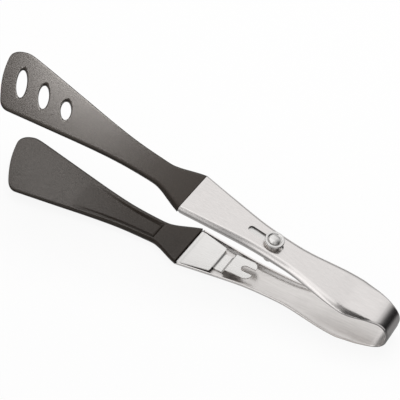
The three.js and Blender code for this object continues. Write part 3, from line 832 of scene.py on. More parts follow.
class Blade:
    """A blade's outline, thickness and bend against s."""

    def __init__(self):
        z, b = steel(), blades()
        self.sizes = b
        self.seam = z.handle_length
        self.start, self.end = self.seam + b.seat_gap, self.seam + b.blade_length
        self.neck = self.seam + b.neck_place
        self.seam_run = z.seam_run
        self.recess_start = self.seam + b.recess_place
        self.half_width = smooth_reader(
            spread(self.seam, self.neck, z.seam_width / 2, b.neck_width / 2, TO_NECK),
            spread(self.neck, self.end, b.neck_width / 2, b.tip_width / 2, TO_TIP),
        )
        self.thickness = smooth_reader(
            spread(self.seam, self.end, b.root_thickness, b.tip_thickness, THICKNESS)
        )

    def along(self, s):
        """Share of the blade's length, from 0 at the seam."""
        return np.clip((s - self.seam) / self.sizes.blade_length, 0, None)

    def root_fade(self, s):
        """0 at the seam, where the section is the handle's, to 1 where it is the blade's own."""
        return np.clip(ROOT_PARTS * self.along(s), 0, 1)

    def drift(self, s):
        """Sideways place of the blade's middle."""
        return self.sizes.drift * self.along(s)

    def bend(self, s):
        """Inward bend: bend * share ** BEND_POWER, with share from 0 at the seam to 1 at the end."""
        return self.sizes.bend * self.along(s) ** BEND_POWER

    def edges(self, line):
        """How far the far and the near edge of a crosswise line lie from the middle, with the line's slant
        and its share of the way from the neck to the end. Each edge is read at its own place on the slant,
        and a rounded corner draws it in at the end."""
        b = self.sizes
        tip_share = np.clip((line - self.neck) / (self.end - self.neck), 0, None)
        slant = math.tan(b.tip_slant) * tip_share**SLANT_POWER
        from_end = (self.end - line) * math.cos(b.tip_slant)

        def reach(edge, inset):
            half = self.half_width(line)
            for _ in range(EDGE_ROUNDS):
                half = self.half_width(np.minimum(line + edge * half * slant, self.end))
            return half - inset

        far = reach(1, corner_inset(from_end, b.far_corner_length, b.far_corner_run))
        near = reach(-1, corner_inset(from_end, b.near_corner_length, b.near_corner_run))
        return far, near, slant, tip_share

    def line_place(self, line, y, far, near, slant, tip_share):
        """s of a crosswise line at y: line + y * slant, plus a crown that is highest half way across."""
        across = (y + near) / (far + near)
        return line + y * slant + self.sizes.tip_bulge * tip_share**2 * (1 - (2 * across - 1) ** 2)


# Least values that keep a division from dividing by nothing, and the distance where no hole is near
LEAST, LEAST_MARGIN, FAR_AWAY = 1e-9, 1e-6, 1.0


class Holes:
    """The slanted oval drain holes. For an ellipse with half axes a and b slanted by phi, the two edges at
    crosswise place v are slope * v -+ sqrt(A - (A C - B squared) v squared) / A, with slope = -B / A,
    A = sin(phi)^2 / a^2 + cos(phi)^2 / b^2, B = sin(phi) cos(phi) (1 / a^2 - 1 / b^2), and C as A with sin
    and cos changed."""

    def __init__(self, blade):
        b = blade.sizes
        order = np.arange(len(HOLE_LENGTHS))[::-1]
        self.s = blade.end - b.hole_from_end - order * b.hole_pitch
        self.y = b.hole_side
        self.long = np.array(HOLE_LENGTHS)[::-1] / 2
        self.short = b.hole_width / 2
        self.sine, self.cosine = sine, cosine = math.sin(b.hole_slant), math.cos(b.hole_slant)
        self.A = sine**2 / self.long**2 + cosine**2 / self.short**2
        self.B = sine * cosine * (1 / self.long**2 - 1 / self.short**2)
        self.C = cosine**2 / self.long**2 + sine**2 / self.short**2
        self.slope = -self.B / self.A
        self.reach = np.sqrt(self.A / (self.A * self.C - self.B**2))
        self.line = self.s.copy()
        for _ in range(HOLE_ROUNDS):
            y = self.y - blade.drift(self.line)
            self.line = self.line + self.s - blade.line_place(self.line, y, *blade.edges(self.line))

    def half_gap(self, k, v):
        """Half the opening of hole k along s, at crosswise place v from the hole's middle."""
        inside = self.A[k] - (self.A[k] * self.C[k] - self.B[k] ** 2) * v**2
        return np.sqrt(np.clip(inside, 0, None)) / self.A[k]

    def distance(self, s, y):
        """Distance to the nearest hole's edge, as (g - 1) g / |gradient| of g = sqrt((x/a)^2 + (z/b)^2)."""
        nearest = np.full(np.shape(s), FAR_AWAY)
        for place, long in zip(self.s, self.long):
            x = (s - place) * self.sine + (y - self.y) * self.cosine
            z = (s - place) * self.cosine - (y - self.y) * self.sine
            g = np.sqrt((x / long) ** 2 + (z / self.short) ** 2) + LEAST
            steep = np.sqrt((x / long**2) ** 2 + (z / self.short**2) ** 2) + LEAST
            nearest = np.minimum(nearest, np.abs(g - 1) * g / steep)
        return nearest


# Pitches of a blade's rows, and the stretches with finer rows: the seat, before and after the recess's end
# wall, and the tip
BLADE_PITCH, SEAT_PITCH, WALL_PITCH, TIP_PITCH = 1.6 * MM, 0.25 * MM, 0.12 * MM, 0.7 * MM
SEAT_RUN, WALL_BEFORE, WALL_AFTER, TIP_RUN, TIP_ROWS = 1 * MM, 0.4 * MM, 3.2 * MM, 3 * MM, 12

# Round a hole: half length of its band as a share of the holes' pitch, where the rows stand in the band
# from its end to the hole's edge, and the half width of the cut that the hole is drawn from
HOLE_BAND = 0.46
NEAR_HOLE = (1, 0.85, 0.7, 0.55, 0.42, 0.3, 0.2, 0.12, 0.07, 0.035, 0.012, 0)
SLIVER = 0.04 * MM

# Columns of the rounded edge, of a margin and of the holes' zone, with the zone's half width and middle
# at the seam, at the neck and before the first hole
EDGE_COLUMNS, MARGIN_COLUMNS, ZONE_COLUMNS = 9, 10, 29
ZONE_HALF = (6 * MM, 4.5 * MM, 6 * MM)
ZONE_MIDDLE = (0, 0, 0.8 * MM)

# Share of the thickness that rounds the outer and the inner face's edge at the seam, and what the blade's
# own section takes from the first and adds to the second
OUTER_EDGE, OUTER_LESS = 0.85, 0.4
INNER_EDGE, INNER_MORE = 0.1, 0.35

TANG_ROWS, TANG_COLUMNS = 12, 8


def blade_rows(blade, holes):
    """A blade's crosswise lines as s at the middle, how much each is drawn to a hole's rear edge (below 0)
    or front edge (above 0), and the number of that hole."""
    band = HOLE_BAND * blade.sizes.hole_pitch
    seat_end, tip_start = blade.start + SEAT_RUN, blade.end - TIP_RUN
    wall_start, wall_end = blade.recess_start - WALL_BEFORE, blade.recess_start + WALL_AFTER
    root = np.concatenate([
        steps(blade.start, seat_end, SEAT_PITCH), steps(seat_end, wall_start, BLADE_PITCH),
        steps(wall_start, wall_end, WALL_PITCH), steps(wall_end, holes.line[0] - band, BLADE_PITCH),
    ])
    tip = np.concatenate([
        steps(holes.line[-1] + band, tip_start, TIP_PITCH), towards(tip_start, blade.end, TIP_ROWS),
    ])[1:]
    t = np.array([*NEAR_HOLE, *reversed(NEAR_HOLE)])
    side = np.repeat([-1.0, 1.0], len(NEAR_HOLE))
    round_holes = holes.line[:, None] + side * np.maximum(band * t, SLIVER)
    count = len(holes.line)
    line = np.concatenate([root, round_holes.ravel(), tip])
    pull = np.concatenate([0 * root, np.tile(side * (1 - t), count), 0 * tip])
    hole_of = np.repeat(np.r_[0, :count, 0], [len(root), *[len(t)] * count, len(tip)])
    return line, pull, hole_of


def blade_columns(blade, holes, line, near_edge, far_edge):
    """y of every column at each line, how far each is lifted by the rounded edge, and the zone's first
    column. The edges are quarter ellipses, and between two even margins lies the zone of the holes, whose
    columns crowd at its sides."""
    b = blade.sizes
    run = blade.seam_run + (b.edge - blade.seam_run) * blade.root_fade(line)
    turn = np.linspace(0, QUARTER_TURN, EDGE_COLUMNS)
    inset = run[:, None] * (1 - np.cos(turn))
    lift = np.broadcast_to(1 - np.sin(turn), inset.shape)
    spans = [blade.start, blade.neck, holes.line[0] - HOLE_BAND * b.hole_pitch, *holes.line, blade.end]
    zone_half = np.interp(line, spans, [*ZONE_HALF, *holes.reach, holes.reach[-1]])
    zone_y = np.interp(line, spans, [*ZONE_MIDDLE, *np.full(len(holes.line) + 1, holes.y)])
    ovals = np.sin(np.linspace(-QUARTER_TURN, QUARTER_TURN, ZONE_COLUMNS))
    zone = zone_y[:, None] + zone_half[:, None] * ovals
    blend = np.linspace(0, 1, MARGIN_COLUMNS + 2)[1:-1]
    near_margin = (near_edge + inset[:, -1:]) * (1 - blend) + zone[:, :1] * blend
    far_margin = zone[:, -1:] * (1 - blend) + (far_edge - inset[:, -1:]) * blend
    y = np.hstack([near_edge + inset, near_margin, zone, far_margin, (far_edge - inset)[:, ::-1]])
    flat = np.zeros((len(line), ZONE_COLUMNS + 2 * MARGIN_COLUMNS))
    return y, np.hstack([lift, flat, lift[:, ::-1]]), EDGE_COLUMNS + MARGIN_COLUMNS


def draw_to_holes(blade, holes, rows, s, y, near_edge, far_edge):
    """s with the lines parted round the holes: at share t from the hole's edge a line is drawn towards it
    by (1 - t) * (half gap + slope * v), and less beside the hole, down to nothing at the blade's edge."""
    line, pull, hole_of = rows
    reach, column = holes.reach[hole_of][:, None], hole_of[:, None]
    v = y - holes.y
    margin = np.where(v > 0, far_edge - holes.y, holes.y - near_edge) - reach
    window = 1 - ease((np.abs(v) - reach) / np.maximum(margin, LEAST_MARGIN))
    held = np.clip(v, -reach, reach)
    gap = np.sqrt(holes.half_gap(column, held) ** 2 + SLIVER**2)
    centre = holes.line[hole_of]
    edges = [part[:, None] for part in blade.edges(centre)]
    centre_line = blade.line_place(centre[:, None], y - blade.drift(centre)[:, None], *edges)
    target = holes.s[column] + holes.slope[column] * held + np.sign(pull)[:, None] * gap
    return s + np.abs(pull)[:, None] * window * (target - centre_line)


def recess_fall(blade, s, y):
    """How far the inner face falls in the recess. Its floor rises evenly from the end wall to nothing, the
    walls are smoothsteps, and a groove exp(-(x / width) squared) runs at the foot of the end wall and of
    the near wall."""
    b = blade.sizes
    half, drift = blade.half_width(s) - b.recess_rim, blade.drift(s)
    past, from_near, from_far = s - blade.recess_start, y - drift + half, half + drift - y
    inside = ease(from_near / b.recess_near_wall) * ease(from_far / b.recess_far_wall)
    inside *= ease(past / b.recess_end_wall) * np.clip(1 - past / b.recess_length, 0, 1)
    grooves = [
        np.exp(-(((place - wall - b.groove_width / 2) / b.groove_width) ** 2))
        for place, wall in ((from_near, b.recess_near_wall), (past, b.recess_end_wall))
    ]
    return inside * (b.recess_depth + b.groove_depth * np.maximum(*grooves))


def blade_mesh(name, upper):
    """A blade as a solid between its outer and inner face, with crosswise lines as rows, and its tang.
    The upper blade has the drain holes, and their edges are rounded by a quarter circle."""
    blade, strip = Blade(), Strip()
    b = blade.sizes
    holes = Holes(blade)
    line, pull, hole_of = blade_rows(blade, holes)
    edges = [part[:, None] for part in blade.edges(line)]
    drift, fade = blade.drift(line)[:, None], blade.root_fade(line)[:, None]
    near_edge, far_edge = drift - edges[1], drift + edges[0]
    y, lift, first = blade_columns(blade, holes, line, near_edge, far_edge)
    s = blade.line_place(line[:, None], y - drift, *edges)
    if upper:
        s = draw_to_holes(blade, holes, (line, pull, hole_of), s, y, near_edge, far_edge)
    thickness = blade.thickness(line)[:, None]
    bend = blade.bend(s)
    outer_d = bend + lift * thickness * (OUTER_EDGE - OUTER_LESS * fade)
    inner_d = bend + thickness - lift * thickness * (INNER_EDGE + INNER_MORE * fade)
    present = np.ones((len(line) - 1, y.shape[1] - 1), bool)
    if upper:
        from_hole = np.clip(1 - holes.distance(s, y) / b.hole_round, 0, 1)
        dip = b.hole_round * (1 - np.sqrt(1 - from_hole**2))
        outer_d, inner_d = outer_d + dip, inner_d - dip
        split = np.flatnonzero((pull[:-1] == -1) & (pull[1:] == 1))
        present[np.ix_(split, np.arange(first, first + ZONE_COLUMNS - 1))] = False
    outer = strip.place(upper, s, y, outer_d)
    inner = strip.place(upper, s, y, inner_d - recess_fall(blade, s, y))
    faces = solid_faces(*y.shape, present)
    points = np.concatenate([outer.reshape(-1, 3), inner.reshape(-1, 3)])
    tang_points, tang_faces = tang_grid(blade, strip, upper, len(points))
    return mesh_from(name, np.concatenate([points, tang_points]), np.vstack([faces, tang_faces]))


def tang_grid(blade, strip, upper, first):
    """The flat tongue inside the handle: a straight-sided solid between the web and the cover plate."""
    z, b, c = steel(), blade.sizes, catch()
    inset = z.seam_run + b.seat_gap
    s = np.linspace(blade.seam - b.tang_length, blade.start + SEAT_RUN, TANG_ROWS)[:, None]
    half = strip.width(strip.path(np.minimum(s, blade.seam))) / 2 - inset
    y = half * np.linspace(-1, 1, TANG_COLUMNS)
    low, high = z.sheet + b.seat_gap, c.depth - c.plate - b.seat_gap
    outer = strip.place(upper, s, y, np.full_like(y, low))
    inner = strip.place(upper, s, y, np.full_like(y, high))
    points = np.concatenate([outer.reshape(-1, 3), inner.reshape(-1, 3)])
    return points, solid_faces(*y.shape, np.ones((len(s) - 1, y.shape[1] - 1), bool), first)


class TONGS_OT_blades(bpy.types.Operator):
    """Make the two nylon turner blades"""

    bl_idname = "tongs.blades"
    bl_label = "Make the blades"

    def execute(self, context):
        for name, upper, node, body in (
            ("lower_blade_nylon", False, "lower_blade", "lower_half"),
            ("upper_blade_nylon", True, "upper_blade", "upper_half"),
        ):
            piece = add_piece(blade_mesh(name, upper), blade_nylon(), [node])
            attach(piece, body)
        return {"FINISHED"}


# The cover plates and the catch


# The plate's pressed front falls over this share of its run, and its bends are a mean of readings over
# this share of theirs. Its slope is read over a small share of a bend.
FALL_SHARE = 0.3
BEND_SHARE, BEND_READINGS, SLOPE_SHARE = 0.7, 13, 0.02

# Radius of the cover's rear and front corners, pitches of the rows on the cover, the hook, past the notch
# and on the neck, how far rows bow past the notch, rows of the corners, and cells across a wing and the
# notch
COVER_CORNER, FRONT_CORNER = 1.3 * MM, 0.65 * MM
COVER_PITCH, HOOK_PITCH, NOTCH_PITCH, NECK_PITCH = 0.9 * MM, 0.5 * MM, 0.4 * MM, 0.3 * MM
NOTCH_RUN = 5 * MM
CORNER_ROWS, HOOK_CORNER_ROWS = 8, 14
WING_CELLS, NOTCH_CELLS = 8, 12


def catch_depth(s, with_hook):
    """Depth of the plate's inner face: the cover's level, down to the floor for the neck, up to the hook.
    Straight lines between the named levels, smoothed by a moving mean of joggle_run."""
    z, b, c = steel(), blades(), catch()
    front = z.handle_length - c.setback
    fall = c.front_fall * ease((s - front + c.front_run) / (FALL_SHARE * c.front_run))
    if not with_hook:
        return c.depth - fall
    cover_rear = z.handle_length - c.setback - c.cover_length
    neck_rear = cover_rear - c.neck_length
    hook_front = neck_rear - c.joggle_run
    floor = z.sheet + b.seat_gap + c.plate
    places = [hook_front - c.joggle_run, neck_rear, cover_rear - c.joggle_run, cover_rear]
    levels = [c.hook_depth, floor, floor, c.depth]
    shifts = np.linspace(-0.5, 0.5, BEND_READINGS) * c.joggle_run * BEND_SHARE
    return np.mean([np.interp(s + shift, places, levels) for shift in shifts], 0) - fall


def cover_mesh(name, upper, with_hook):
    """A pressed plate: plan columns carried along s at the plate's depth, thickened square to the surface.
    The notch, the neck and the wings are cells left open, and rows bow round the notch's front end."""
    strip = Strip()
    z, c = steel(), catch()
    corner = COVER_CORNER
    front = z.handle_length - c.setback
    rear = front - c.cover_length
    hook_front = rear - c.neck_length - c.joggle_run
    hook_rear = hook_front - c.hook_length
    notch_half = c.notch_width / 2
    notch_centre = hook_rear + c.notch_length - notch_half
    rows = [
        rear + corner - towards(0, corner, CORNER_ROWS)[::-1],
        steps(rear + corner, front - corner, COVER_PITCH)[1:],
        towards(front - corner, front, CORNER_ROWS),
    ]
    if with_hook:
        rows = [
            hook_rear + c.hook_corner - towards(0, c.hook_corner, HOOK_CORNER_ROWS)[::-1],
            steps(hook_rear + c.hook_corner, notch_centre, HOOK_PITCH)[1:],
            steps(notch_centre, notch_centre + NOTCH_RUN, NOTCH_PITCH),
            steps(notch_centre + NOTCH_RUN, rear, NECK_PITCH),
            *rows,
        ]
    base = np.concatenate(rows)
    bow = np.clip(1 - (base - notch_centre) / NOTCH_RUN, 0, 1) * (base >= notch_centre)
    hook_half = c.hook_width / 2 - corner_inset(base - hook_rear, c.hook_corner, c.hook_corner)
    neck_half = np.where(base < hook_front, hook_half, c.neck_width / 2)
    inner_wall = strip.width(strip.path(np.array([front]))) / 2 - z.sheet
    front_half = inner_wall[0] - c.side_gap
    rear_half = c.rear_width / 2
    wing_half = rear_half + (front_half - rear_half) * np.clip((base - rear) / c.cover_length, 0, 1)
    wing_half = wing_half - corner_inset(base - rear, corner, corner) * (base >= rear)
    wing_half = wing_half - corner_inset(front - base, FRONT_CORNER, FRONT_CORNER)
    centre = notch_half * np.sin(np.linspace(-QUARTER_TURN, QUARTER_TURN, NOTCH_CELLS + 1))
    shares = np.linspace(0, 1, WING_CELLS + 1)[1:]
    side = notch_half + (neck_half[:, None] - notch_half) * shares
    wing = neck_half[:, None] + (wing_half - neck_half)[:, None] * shares
    centre = np.broadcast_to(centre, (len(base), len(centre)))
    y = np.hstack([-wing[:, ::-1], -side[:, ::-1], centre, side, wing])
    s = base[:, None] + bow[:, None] * np.sqrt(np.clip(notch_half**2 - y**2, 0, None)) * with_hook
    step = c.joggle_run * SLOPE_SHARE
    slope = (catch_depth(s + step, with_hook) - catch_depth(s - step, with_hook)) / (2 * step)
    size = np.sqrt(1 + slope**2)
    depth = catch_depth(s, with_hook)
    top = strip.place(upper, s, y, depth)
    under = strip.place(upper, s + c.plate * slope / size, y, depth - c.plate / size)
    cells = y.shape[1] - 1
    present = np.ones((len(base) - 1, cells), bool)
    if with_hook:
        behind = np.flatnonzero(base[1:] <= rear + LEAST)
        present[behind[:, None], np.r_[:WING_CELLS, cells - WING_CELLS : cells]] = False
        notch = np.flatnonzero(base[1:] <= notch_centre + LEAST)
        present[notch[:, None], 2 * WING_CELLS + np.arange(NOTCH_CELLS)] = False
    return sheet_solid(name, under, top, present)


class TONGS_OT_catch(bpy.types.Operator):
    """Make the catch on the lower arm and the cover plate on the upper arm"""

    bl_idname = "tongs.catch"
    bl_label = "Make the catch"

    def execute(self, context):
        finish = steel_finish("brushed_steel")
        for name, upper, node, body in (
            ("catch_plate_steel", False, "catch_plate", "lower_half"),
            ("upper_cover_steel", True, "upper_cover_plate", "upper_half"),
        ):
            mesh = cover_mesh(name, upper, with_hook=not upper)
            piece = add_piece(mesh, finish, [node], catch().edge_round)
            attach(piece, body)
        return {"FINISHED"}


# The sliding lock


# The gap between the knob's bore and the pin, the radii that round the knob's profile besides its rim's,
# and the points of a rounded corner
BORE_GAP = 0.1 * MM
COLLAR_ROUND, DISH_TOP_ROUND, DISH_FOOT_ROUND = 0.2 * MM, 0.35 * MM, 0.25 * MM
CORNER_POINTS = 8

# The pin's lower head: its place over the solid's, the height of its round, and its rim's steps in and up.
# Then the points of the head's and the dome's profiles.
HEAD_GAP, HEAD_ROUND = 0.02 * MM, 1.2 * MM
RIM_IN, RIM_UP, RIM_TOP = 0.2 * MM, 0.15 * MM, 0.2 * MM
HEAD_POINTS, DOME_POINTS = 12, 14

# The turned pieces' sides, and the guide strip's rows at an end, their pitch between, its columns and its
# least half width
KNOB_SIDES, PIN_SIDES = 96, 72
SLIDE_END_ROWS, SLIDE_PITCH, SLIDE_COLUMNS, SLIDE_LEAST = 14, 1 * MM, 13, 0.02 * MM


def on_lock_axis(x, y, height):
    """Carries points from the pin's axis, with the arm's outer face at height 0, to the frame."""
    return Strip().place(True, lock().knob_place - x, y, -height)


def knob_profile():
    """From the bore's foot out over the collar and the disc, and down into the dish to the bore again."""
    k, gap = lock(), blades().seat_gap
    bore = k.pin_radius + BORE_GAP
    top = gap + k.knob_height
    under = gap + k.collar_height
    floor = top - k.dish_depth
    corners = [
        (bore, gap), (k.collar_radius, gap), (k.collar_radius, under), (k.knob_radius, under),
        (k.knob_radius, top), (k.dish_radius + k.dish_depth, top), (k.dish_radius - BORE_GAP, floor),
        (bore, floor),
    ]
    radii = [COLLAR_ROUND, COLLAR_ROUND, k.knob_edge, k.knob_edge, DISH_TOP_ROUND, DISH_FOOT_ROUND]
    rounded = [
        rounded_corner(at, before, after, radius, CORNER_POINTS)
        for before, at, after, radius in zip(corners, corners[1:], corners[2:], radii)
    ]
    return np.vstack([corners[:1], *rounded, corners[-1:], corners[:1]])


def pin_profile():
    """From the lower head's pole over the shank to the dome's pole. The head is a quarter circle turned,
    and the dome is dome_height * (1 - from_axis squared), with from_axis from 1 at its rim to 0."""
    k, gap = lock(), blades().seat_gap
    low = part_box("lock_pin")[0]
    web_top = on_lock_axis(np.array(0.0), 0.0, 0.0)
    head_low = (low.z - web_top[2]) / math.cos(steel().open_angle) + HEAD_GAP
    dome_base = gap + k.knob_height - k.dish_depth + gap
    t = np.linspace(0, QUARTER_TURN, HEAD_POINTS)
    head = np.column_stack([k.catch_radius * np.sin(t), head_low + HEAD_ROUND * (1 - np.cos(t))])
    head_top = head[-1, 1]
    rim = [[k.catch_radius - RIM_IN, head_top + RIM_UP], [k.pin_radius, head_top + RIM_TOP]]
    from_axis = np.linspace(1, 0, DOME_POINTS)
    dome = np.column_stack([k.dome_radius * from_axis, dome_base + k.dome_height * (1 - from_axis**2)])
    return np.vstack([head, rim, [[k.pin_radius, dome_base]], dome])


def slide_mesh(name):
    """The guide strip: rows along s, with half width from a half circle at each end."""
    strip = Strip()
    z, b, k = steel(), blades(), lock()
    half = k.slide_width / 2
    rear, front = -k.slide_rear, k.slide_front
    row = np.concatenate([
        rear + half - towards(0, half, SLIDE_END_ROWS)[::-1],
        steps(rear + half, front - half, SLIDE_PITCH)[1:],
        towards(front - half, front, SLIDE_END_ROWS),
    ])
    from_end = np.minimum(row - rear, front - row)
    width = np.sqrt(np.clip(half**2 - np.clip(half - from_end, 0, None) ** 2, SLIDE_LEAST**2, None))
    y = width[:, None] * np.linspace(-1, 1, SLIDE_COLUMNS)
    s = k.knob_place + np.broadcast_to(row[:, None], y.shape)
    depth = z.sheet + b.seat_gap
    outer = strip.place(True, s, y, np.full_like(y, depth))
    inner = strip.place(True, s, y, np.full_like(y, depth + k.slide_thickness))
    return sheet_solid(name, outer, inner)


class TONGS_OT_lock(bpy.types.Operator):
    """Make the knob, the pin and the guide strip of the sliding lock"""

    bl_idname = "tongs.lock"
    bl_label = "Make the lock"

    def execute(self, context):
        bright = steel_finish("bright_steel")
        knob = turned_mesh("lock_knob_steel", knob_profile(), KNOB_SIDES)
        pin = turned_mesh("lock_pin_steel", pin_profile(), PIN_SIDES)
        slide = slide_mesh("slide_strip_steel")
        for piece in (
            add_piece(knob, bright, ["lock_knob"], merge=True),
            add_piece(pin, bright, ["lock_pin"], merge=True),
            add_piece(slide, steel_finish("brushed_steel"), ["slide_plate"]),
        ):
            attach(piece, "lock_slider")
        return {"FINISHED"}


# The studio


def white_to_camera(nodes, links, plain, white):
    """Mixes a plain shader with white for camera, glossy and transmission rays."""
    ray = add_node(nodes, "ShaderNodeLightPath").outputs
    seen, seen_too = (add_node(nodes, "ShaderNodeMath", operation="MAXIMUM") for _ in range(2))
    amount = add_node(nodes, "ShaderNodeMath", operation="MULTIPLY")
    amount.inputs[1].default_value = white
    mix = add_node(nodes, "ShaderNodeMixShader")
    join(
        links,
        (ray["Is Camera Ray"], seen.inputs[0]),
        (ray["Is Glossy Ray"], seen.inputs[1]),
        (seen.outputs[0], seen_too.inputs[0]),
        (ray["Is Transmission Ray"], seen_too.inputs[1]),
        (seen_too.outputs[0], amount.inputs[0]),
        (amount.outputs[0], mix.inputs["Fac"]),
        (plain, mix.inputs[1]),
    )
    return mix


def floor_material():
    """A pale dull floor that is mostly plain white to the camera."""
    material, nodes, links, shader = new_material("pale_floor")
    shader.inputs["Base Color"].default_value = FLOOR_COLOUR
    shader.inputs["Roughness"].default_value = FLOOR_ROUGH
    shader.inputs["Specular IOR Level"].default_value = 0.0
    glow = add_node(nodes, "ShaderNodeEmission", Strength=1.0)
    mix = white_to_camera(nodes, links, shader.outputs[0], studio().floor_white)
    surface = nodes["Material Output"].inputs["Surface"]
    join(links, (glow.outputs[0], mix.inputs[2]), (mix.outputs[0], surface))
    return material


def shade_along(nodes, links, value, stops):
    """A grey read from stops of (value, grey), with straight lines between them."""
    low, high = stops[0][0], stops[-1][0]
    scaled = add_range(nodes, low, high)
    ramp = add_node(nodes, "ShaderNodeValToRGB")
    elements = ramp.color_ramp.elements
    for element, (_, grey) in zip(elements, (stops[0], stops[-1])):
        element.color = (grey, grey, grey, 1.0)
    for place, grey in stops[1:-1]:
        elements.new((place - low) / (high - low)).color = (grey, grey, grey, 1.0)
    join(links, (value, scaled.inputs["Value"]), (scaled.outputs["Result"], ramp.inputs["Fac"]))
    return ramp.outputs["Color"]


def mirrored_material(name, across, near, far, by_direction):
    """What the steel mirrors: grey from stops across Y times grey from stops along X, which change from
    the near side's to the far side's. They are read from the direction on the dome, or the place on the
    floor."""
    material, nodes, links, shader = new_material(name)
    where = add_node(nodes, "ShaderNodeTexCoord").outputs["Object"]
    if by_direction:
        unit = add_node(nodes, "ShaderNodeVectorMath", operation="NORMALIZE")
        links.new(where, unit.inputs[0])
        where = unit.outputs[0]
    parts = add_node(nodes, "ShaderNodeSeparateXYZ")
    side = add_range(nodes, *FAR_SIDE, interpolation_type="SMOOTHSTEP")
    along = add_node(nodes, "ShaderNodeMix", data_type="RGBA")
    both = add_node(nodes, "ShaderNodeMix", data_type="RGBA", blend_type="MULTIPLY", Factor=1.0)
    glow = add_node(nodes, "ShaderNodeEmission", Strength=1.0)
    x, y = parts.outputs["X"], parts.outputs["Y"]
    join(
        links,
        (where, parts.inputs[0]),
        (y, side.inputs["Value"]),
        (side.outputs["Result"], along.inputs["Factor"]),
        (shade_along(nodes, links, x, near), along.inputs[COLOUR_A]),
        (shade_along(nodes, links, x, far), along.inputs[COLOUR_B]),
        (shade_along(nodes, links, y, across), both.inputs[COLOUR_A]),
        (along.outputs[COLOUR_OUT], both.inputs[COLOUR_B]),
        (both.outputs[COLOUR_OUT], glow.inputs["Color"]),
        (glow.outputs[0], nodes["Material Output"].inputs["Surface"]),
    )
    return material


def flat_card(name, centre, across, up, material):
    """A flat card: centre + u * across + v * up, with u and v from -1 to 1."""
    u, v = np.meshgrid([-1.0, 1.0], [-1.0, 1.0])
    points = np.array(centre) + u[..., None] * np.array(across) + v[..., None] * np.array(up)
    mesh = mesh_from(name, points.reshape(-1, 3), np.array([[0, 1, 3, 2]]))
    card = bpy.data.objects.new(name, mesh)
    bpy.context.scene.collection.objects.link(card)
    mesh.materials.append(material)
    return card


# The soft lamps of the blades: blade, place, target, size and power
BLADE_LAMPS = (
    ("upper_blade", (-0.42, 0.7, 0.89), (-0.17, 0.02, 0.08), (0.19, 0.23), 3.0),
    ("lower_blade", (-0.76, 0.6, 0.93), (-0.17, 0.0, 0.01), (0.16, 0.2), 0.45),
)
# The lamp over the tongs: place, target and size
KEY_LAMP = ((-0.1, 0.35, 0.9), (-0.05, 0.0, 0.02), (0.9, 0.6))


# What the steel mirrors, as stops of (place, grey): on the dome by direction, and on the floor by metres, where
# the greys are painted shade of the floor round the tongs
DOME_ACROSS = (
    (-1, 0.3), (-0.95, 0.5), (-0.87, 0.85), (-0.75, 1.0), (-0.3, 1.0), (0.0, 1.08), (0.12, 1.15),
    (0.24, 1.02), (0.38, 0.86), (0.5, 0.88), (0.84, 0.9), (0.93, 0.6), (0.975, 0.24), (1, 0.14),
)
DOME_NEAR = (
    (-1, 0.55), (-0.62, 0.45), (-0.53, 0.1), (-0.44, 0.22), (-0.38, 0.95), (-0.3, 1.05), (-0.25, 0.7),
    (-0.16, 0.85), (-0.09, 1.2), (0.0, 1.45), (0.06, 1.3), (0.1, 0.6), (0.13, 0.2), (0.17, 0.1),
    (0.24, 0.15), (0.4, 0.55), (1, 0.6),
)
DOME_FAR = (
    (-1, 0.08), (-0.82, 0.1), (-0.72, 0.3), (-0.66, 1.1), (-0.58, 1.22), (-0.45, 1.12), (-0.3, 1.04),
    (-0.1, 1.0), (0.15, 1.0), (0.22, 0.86), (0.3, 0.72), (0.4, 0.62), (0.5, 0.46), (0.6, 0.22),
    (0.7, 0.06), (0.8, 0.01), (1, 0.01),
)
# The floor as the steel sees it: grey to near black, darkest in front of the tongs and past the bow, and darker
# than the floor the camera sees. This is painted shade
FLOOR_ACROSS = (
    (-0.6, 0.16), (-0.3, 0.2), (-0.19, 0.27), (-0.1, 0.38), (-0.04, 0.42), (0.0, 0.5), (0.01, 0.75),
    (0.6, 0.75),
)
FLOOR_ALONG = (
    (-0.6, 1.0), (0.06, 1.0), (0.085, 0.34), (0.11, 0.34), (0.13, 0.2), (0.2, 0.03), (0.6, 0.02),
)

# Where the near side's greys give way to the far side's, across Y
FAR_SIDE = (-0.35, 0.15)

# Radius of the dome and half width of the ground that the steel mirrors, the dome's points round and up,
# how far up it closes, and the ground's height
DOME_RADIUS = 2.0
DOME_ROUND, DOME_UP, DOME_TOP = 49, 17, 0.9995
MIRRORED_FLOOR_HEIGHT = 0.0004

# A dark card that only the steel mirrors: centre, half length along X, half width across Y and colour
SHADE = ((0.066, -0.022, 0.062), 0.011, 0.022)
SHADE_COLOUR = (0.03, 0.026, 0.024, 1.0)

# The floor that the camera sees, the world's light and the camera's sensor in millimetres
FLOOR_COLOUR = (0.8, 0.8, 0.8, 1.0)
FLOOR_ROUGH = 0.9
SKY_COLOUR = (1.0, 0.99, 0.98, 1.0)
SENSOR_WIDTH = 36.0


def dome_mesh(name, radius):
    """A half sphere: radius * (cos e cos u, cos e sin u, sin e)."""
    around, upward = np.linspace(0, 2 * math.pi, DOME_ROUND), np.linspace(0, DOME_TOP * QUARTER_TURN, DOME_UP)
    u, e = np.meshgrid(around, upward)
    points = radius * np.stack([np.cos(e) * np.cos(u), np.cos(e) * np.sin(u), np.sin(e)], -1)
    at = np.arange(u.size).reshape(u.shape)
    faces = np.stack([at[:-1, :-1], at[:-1, 1:], at[1:, 1:], at[1:, :-1]], -1).reshape(-1, 4)
    return mesh_from(name, points.reshape(-1, 3), faces)


def mirrored_only(stage_object):
    """Leaves an object to mirror rays alone."""
    o = stage_object
    o.visible_camera = o.visible_diffuse = o.visible_shadow = o.visible_transmission = False


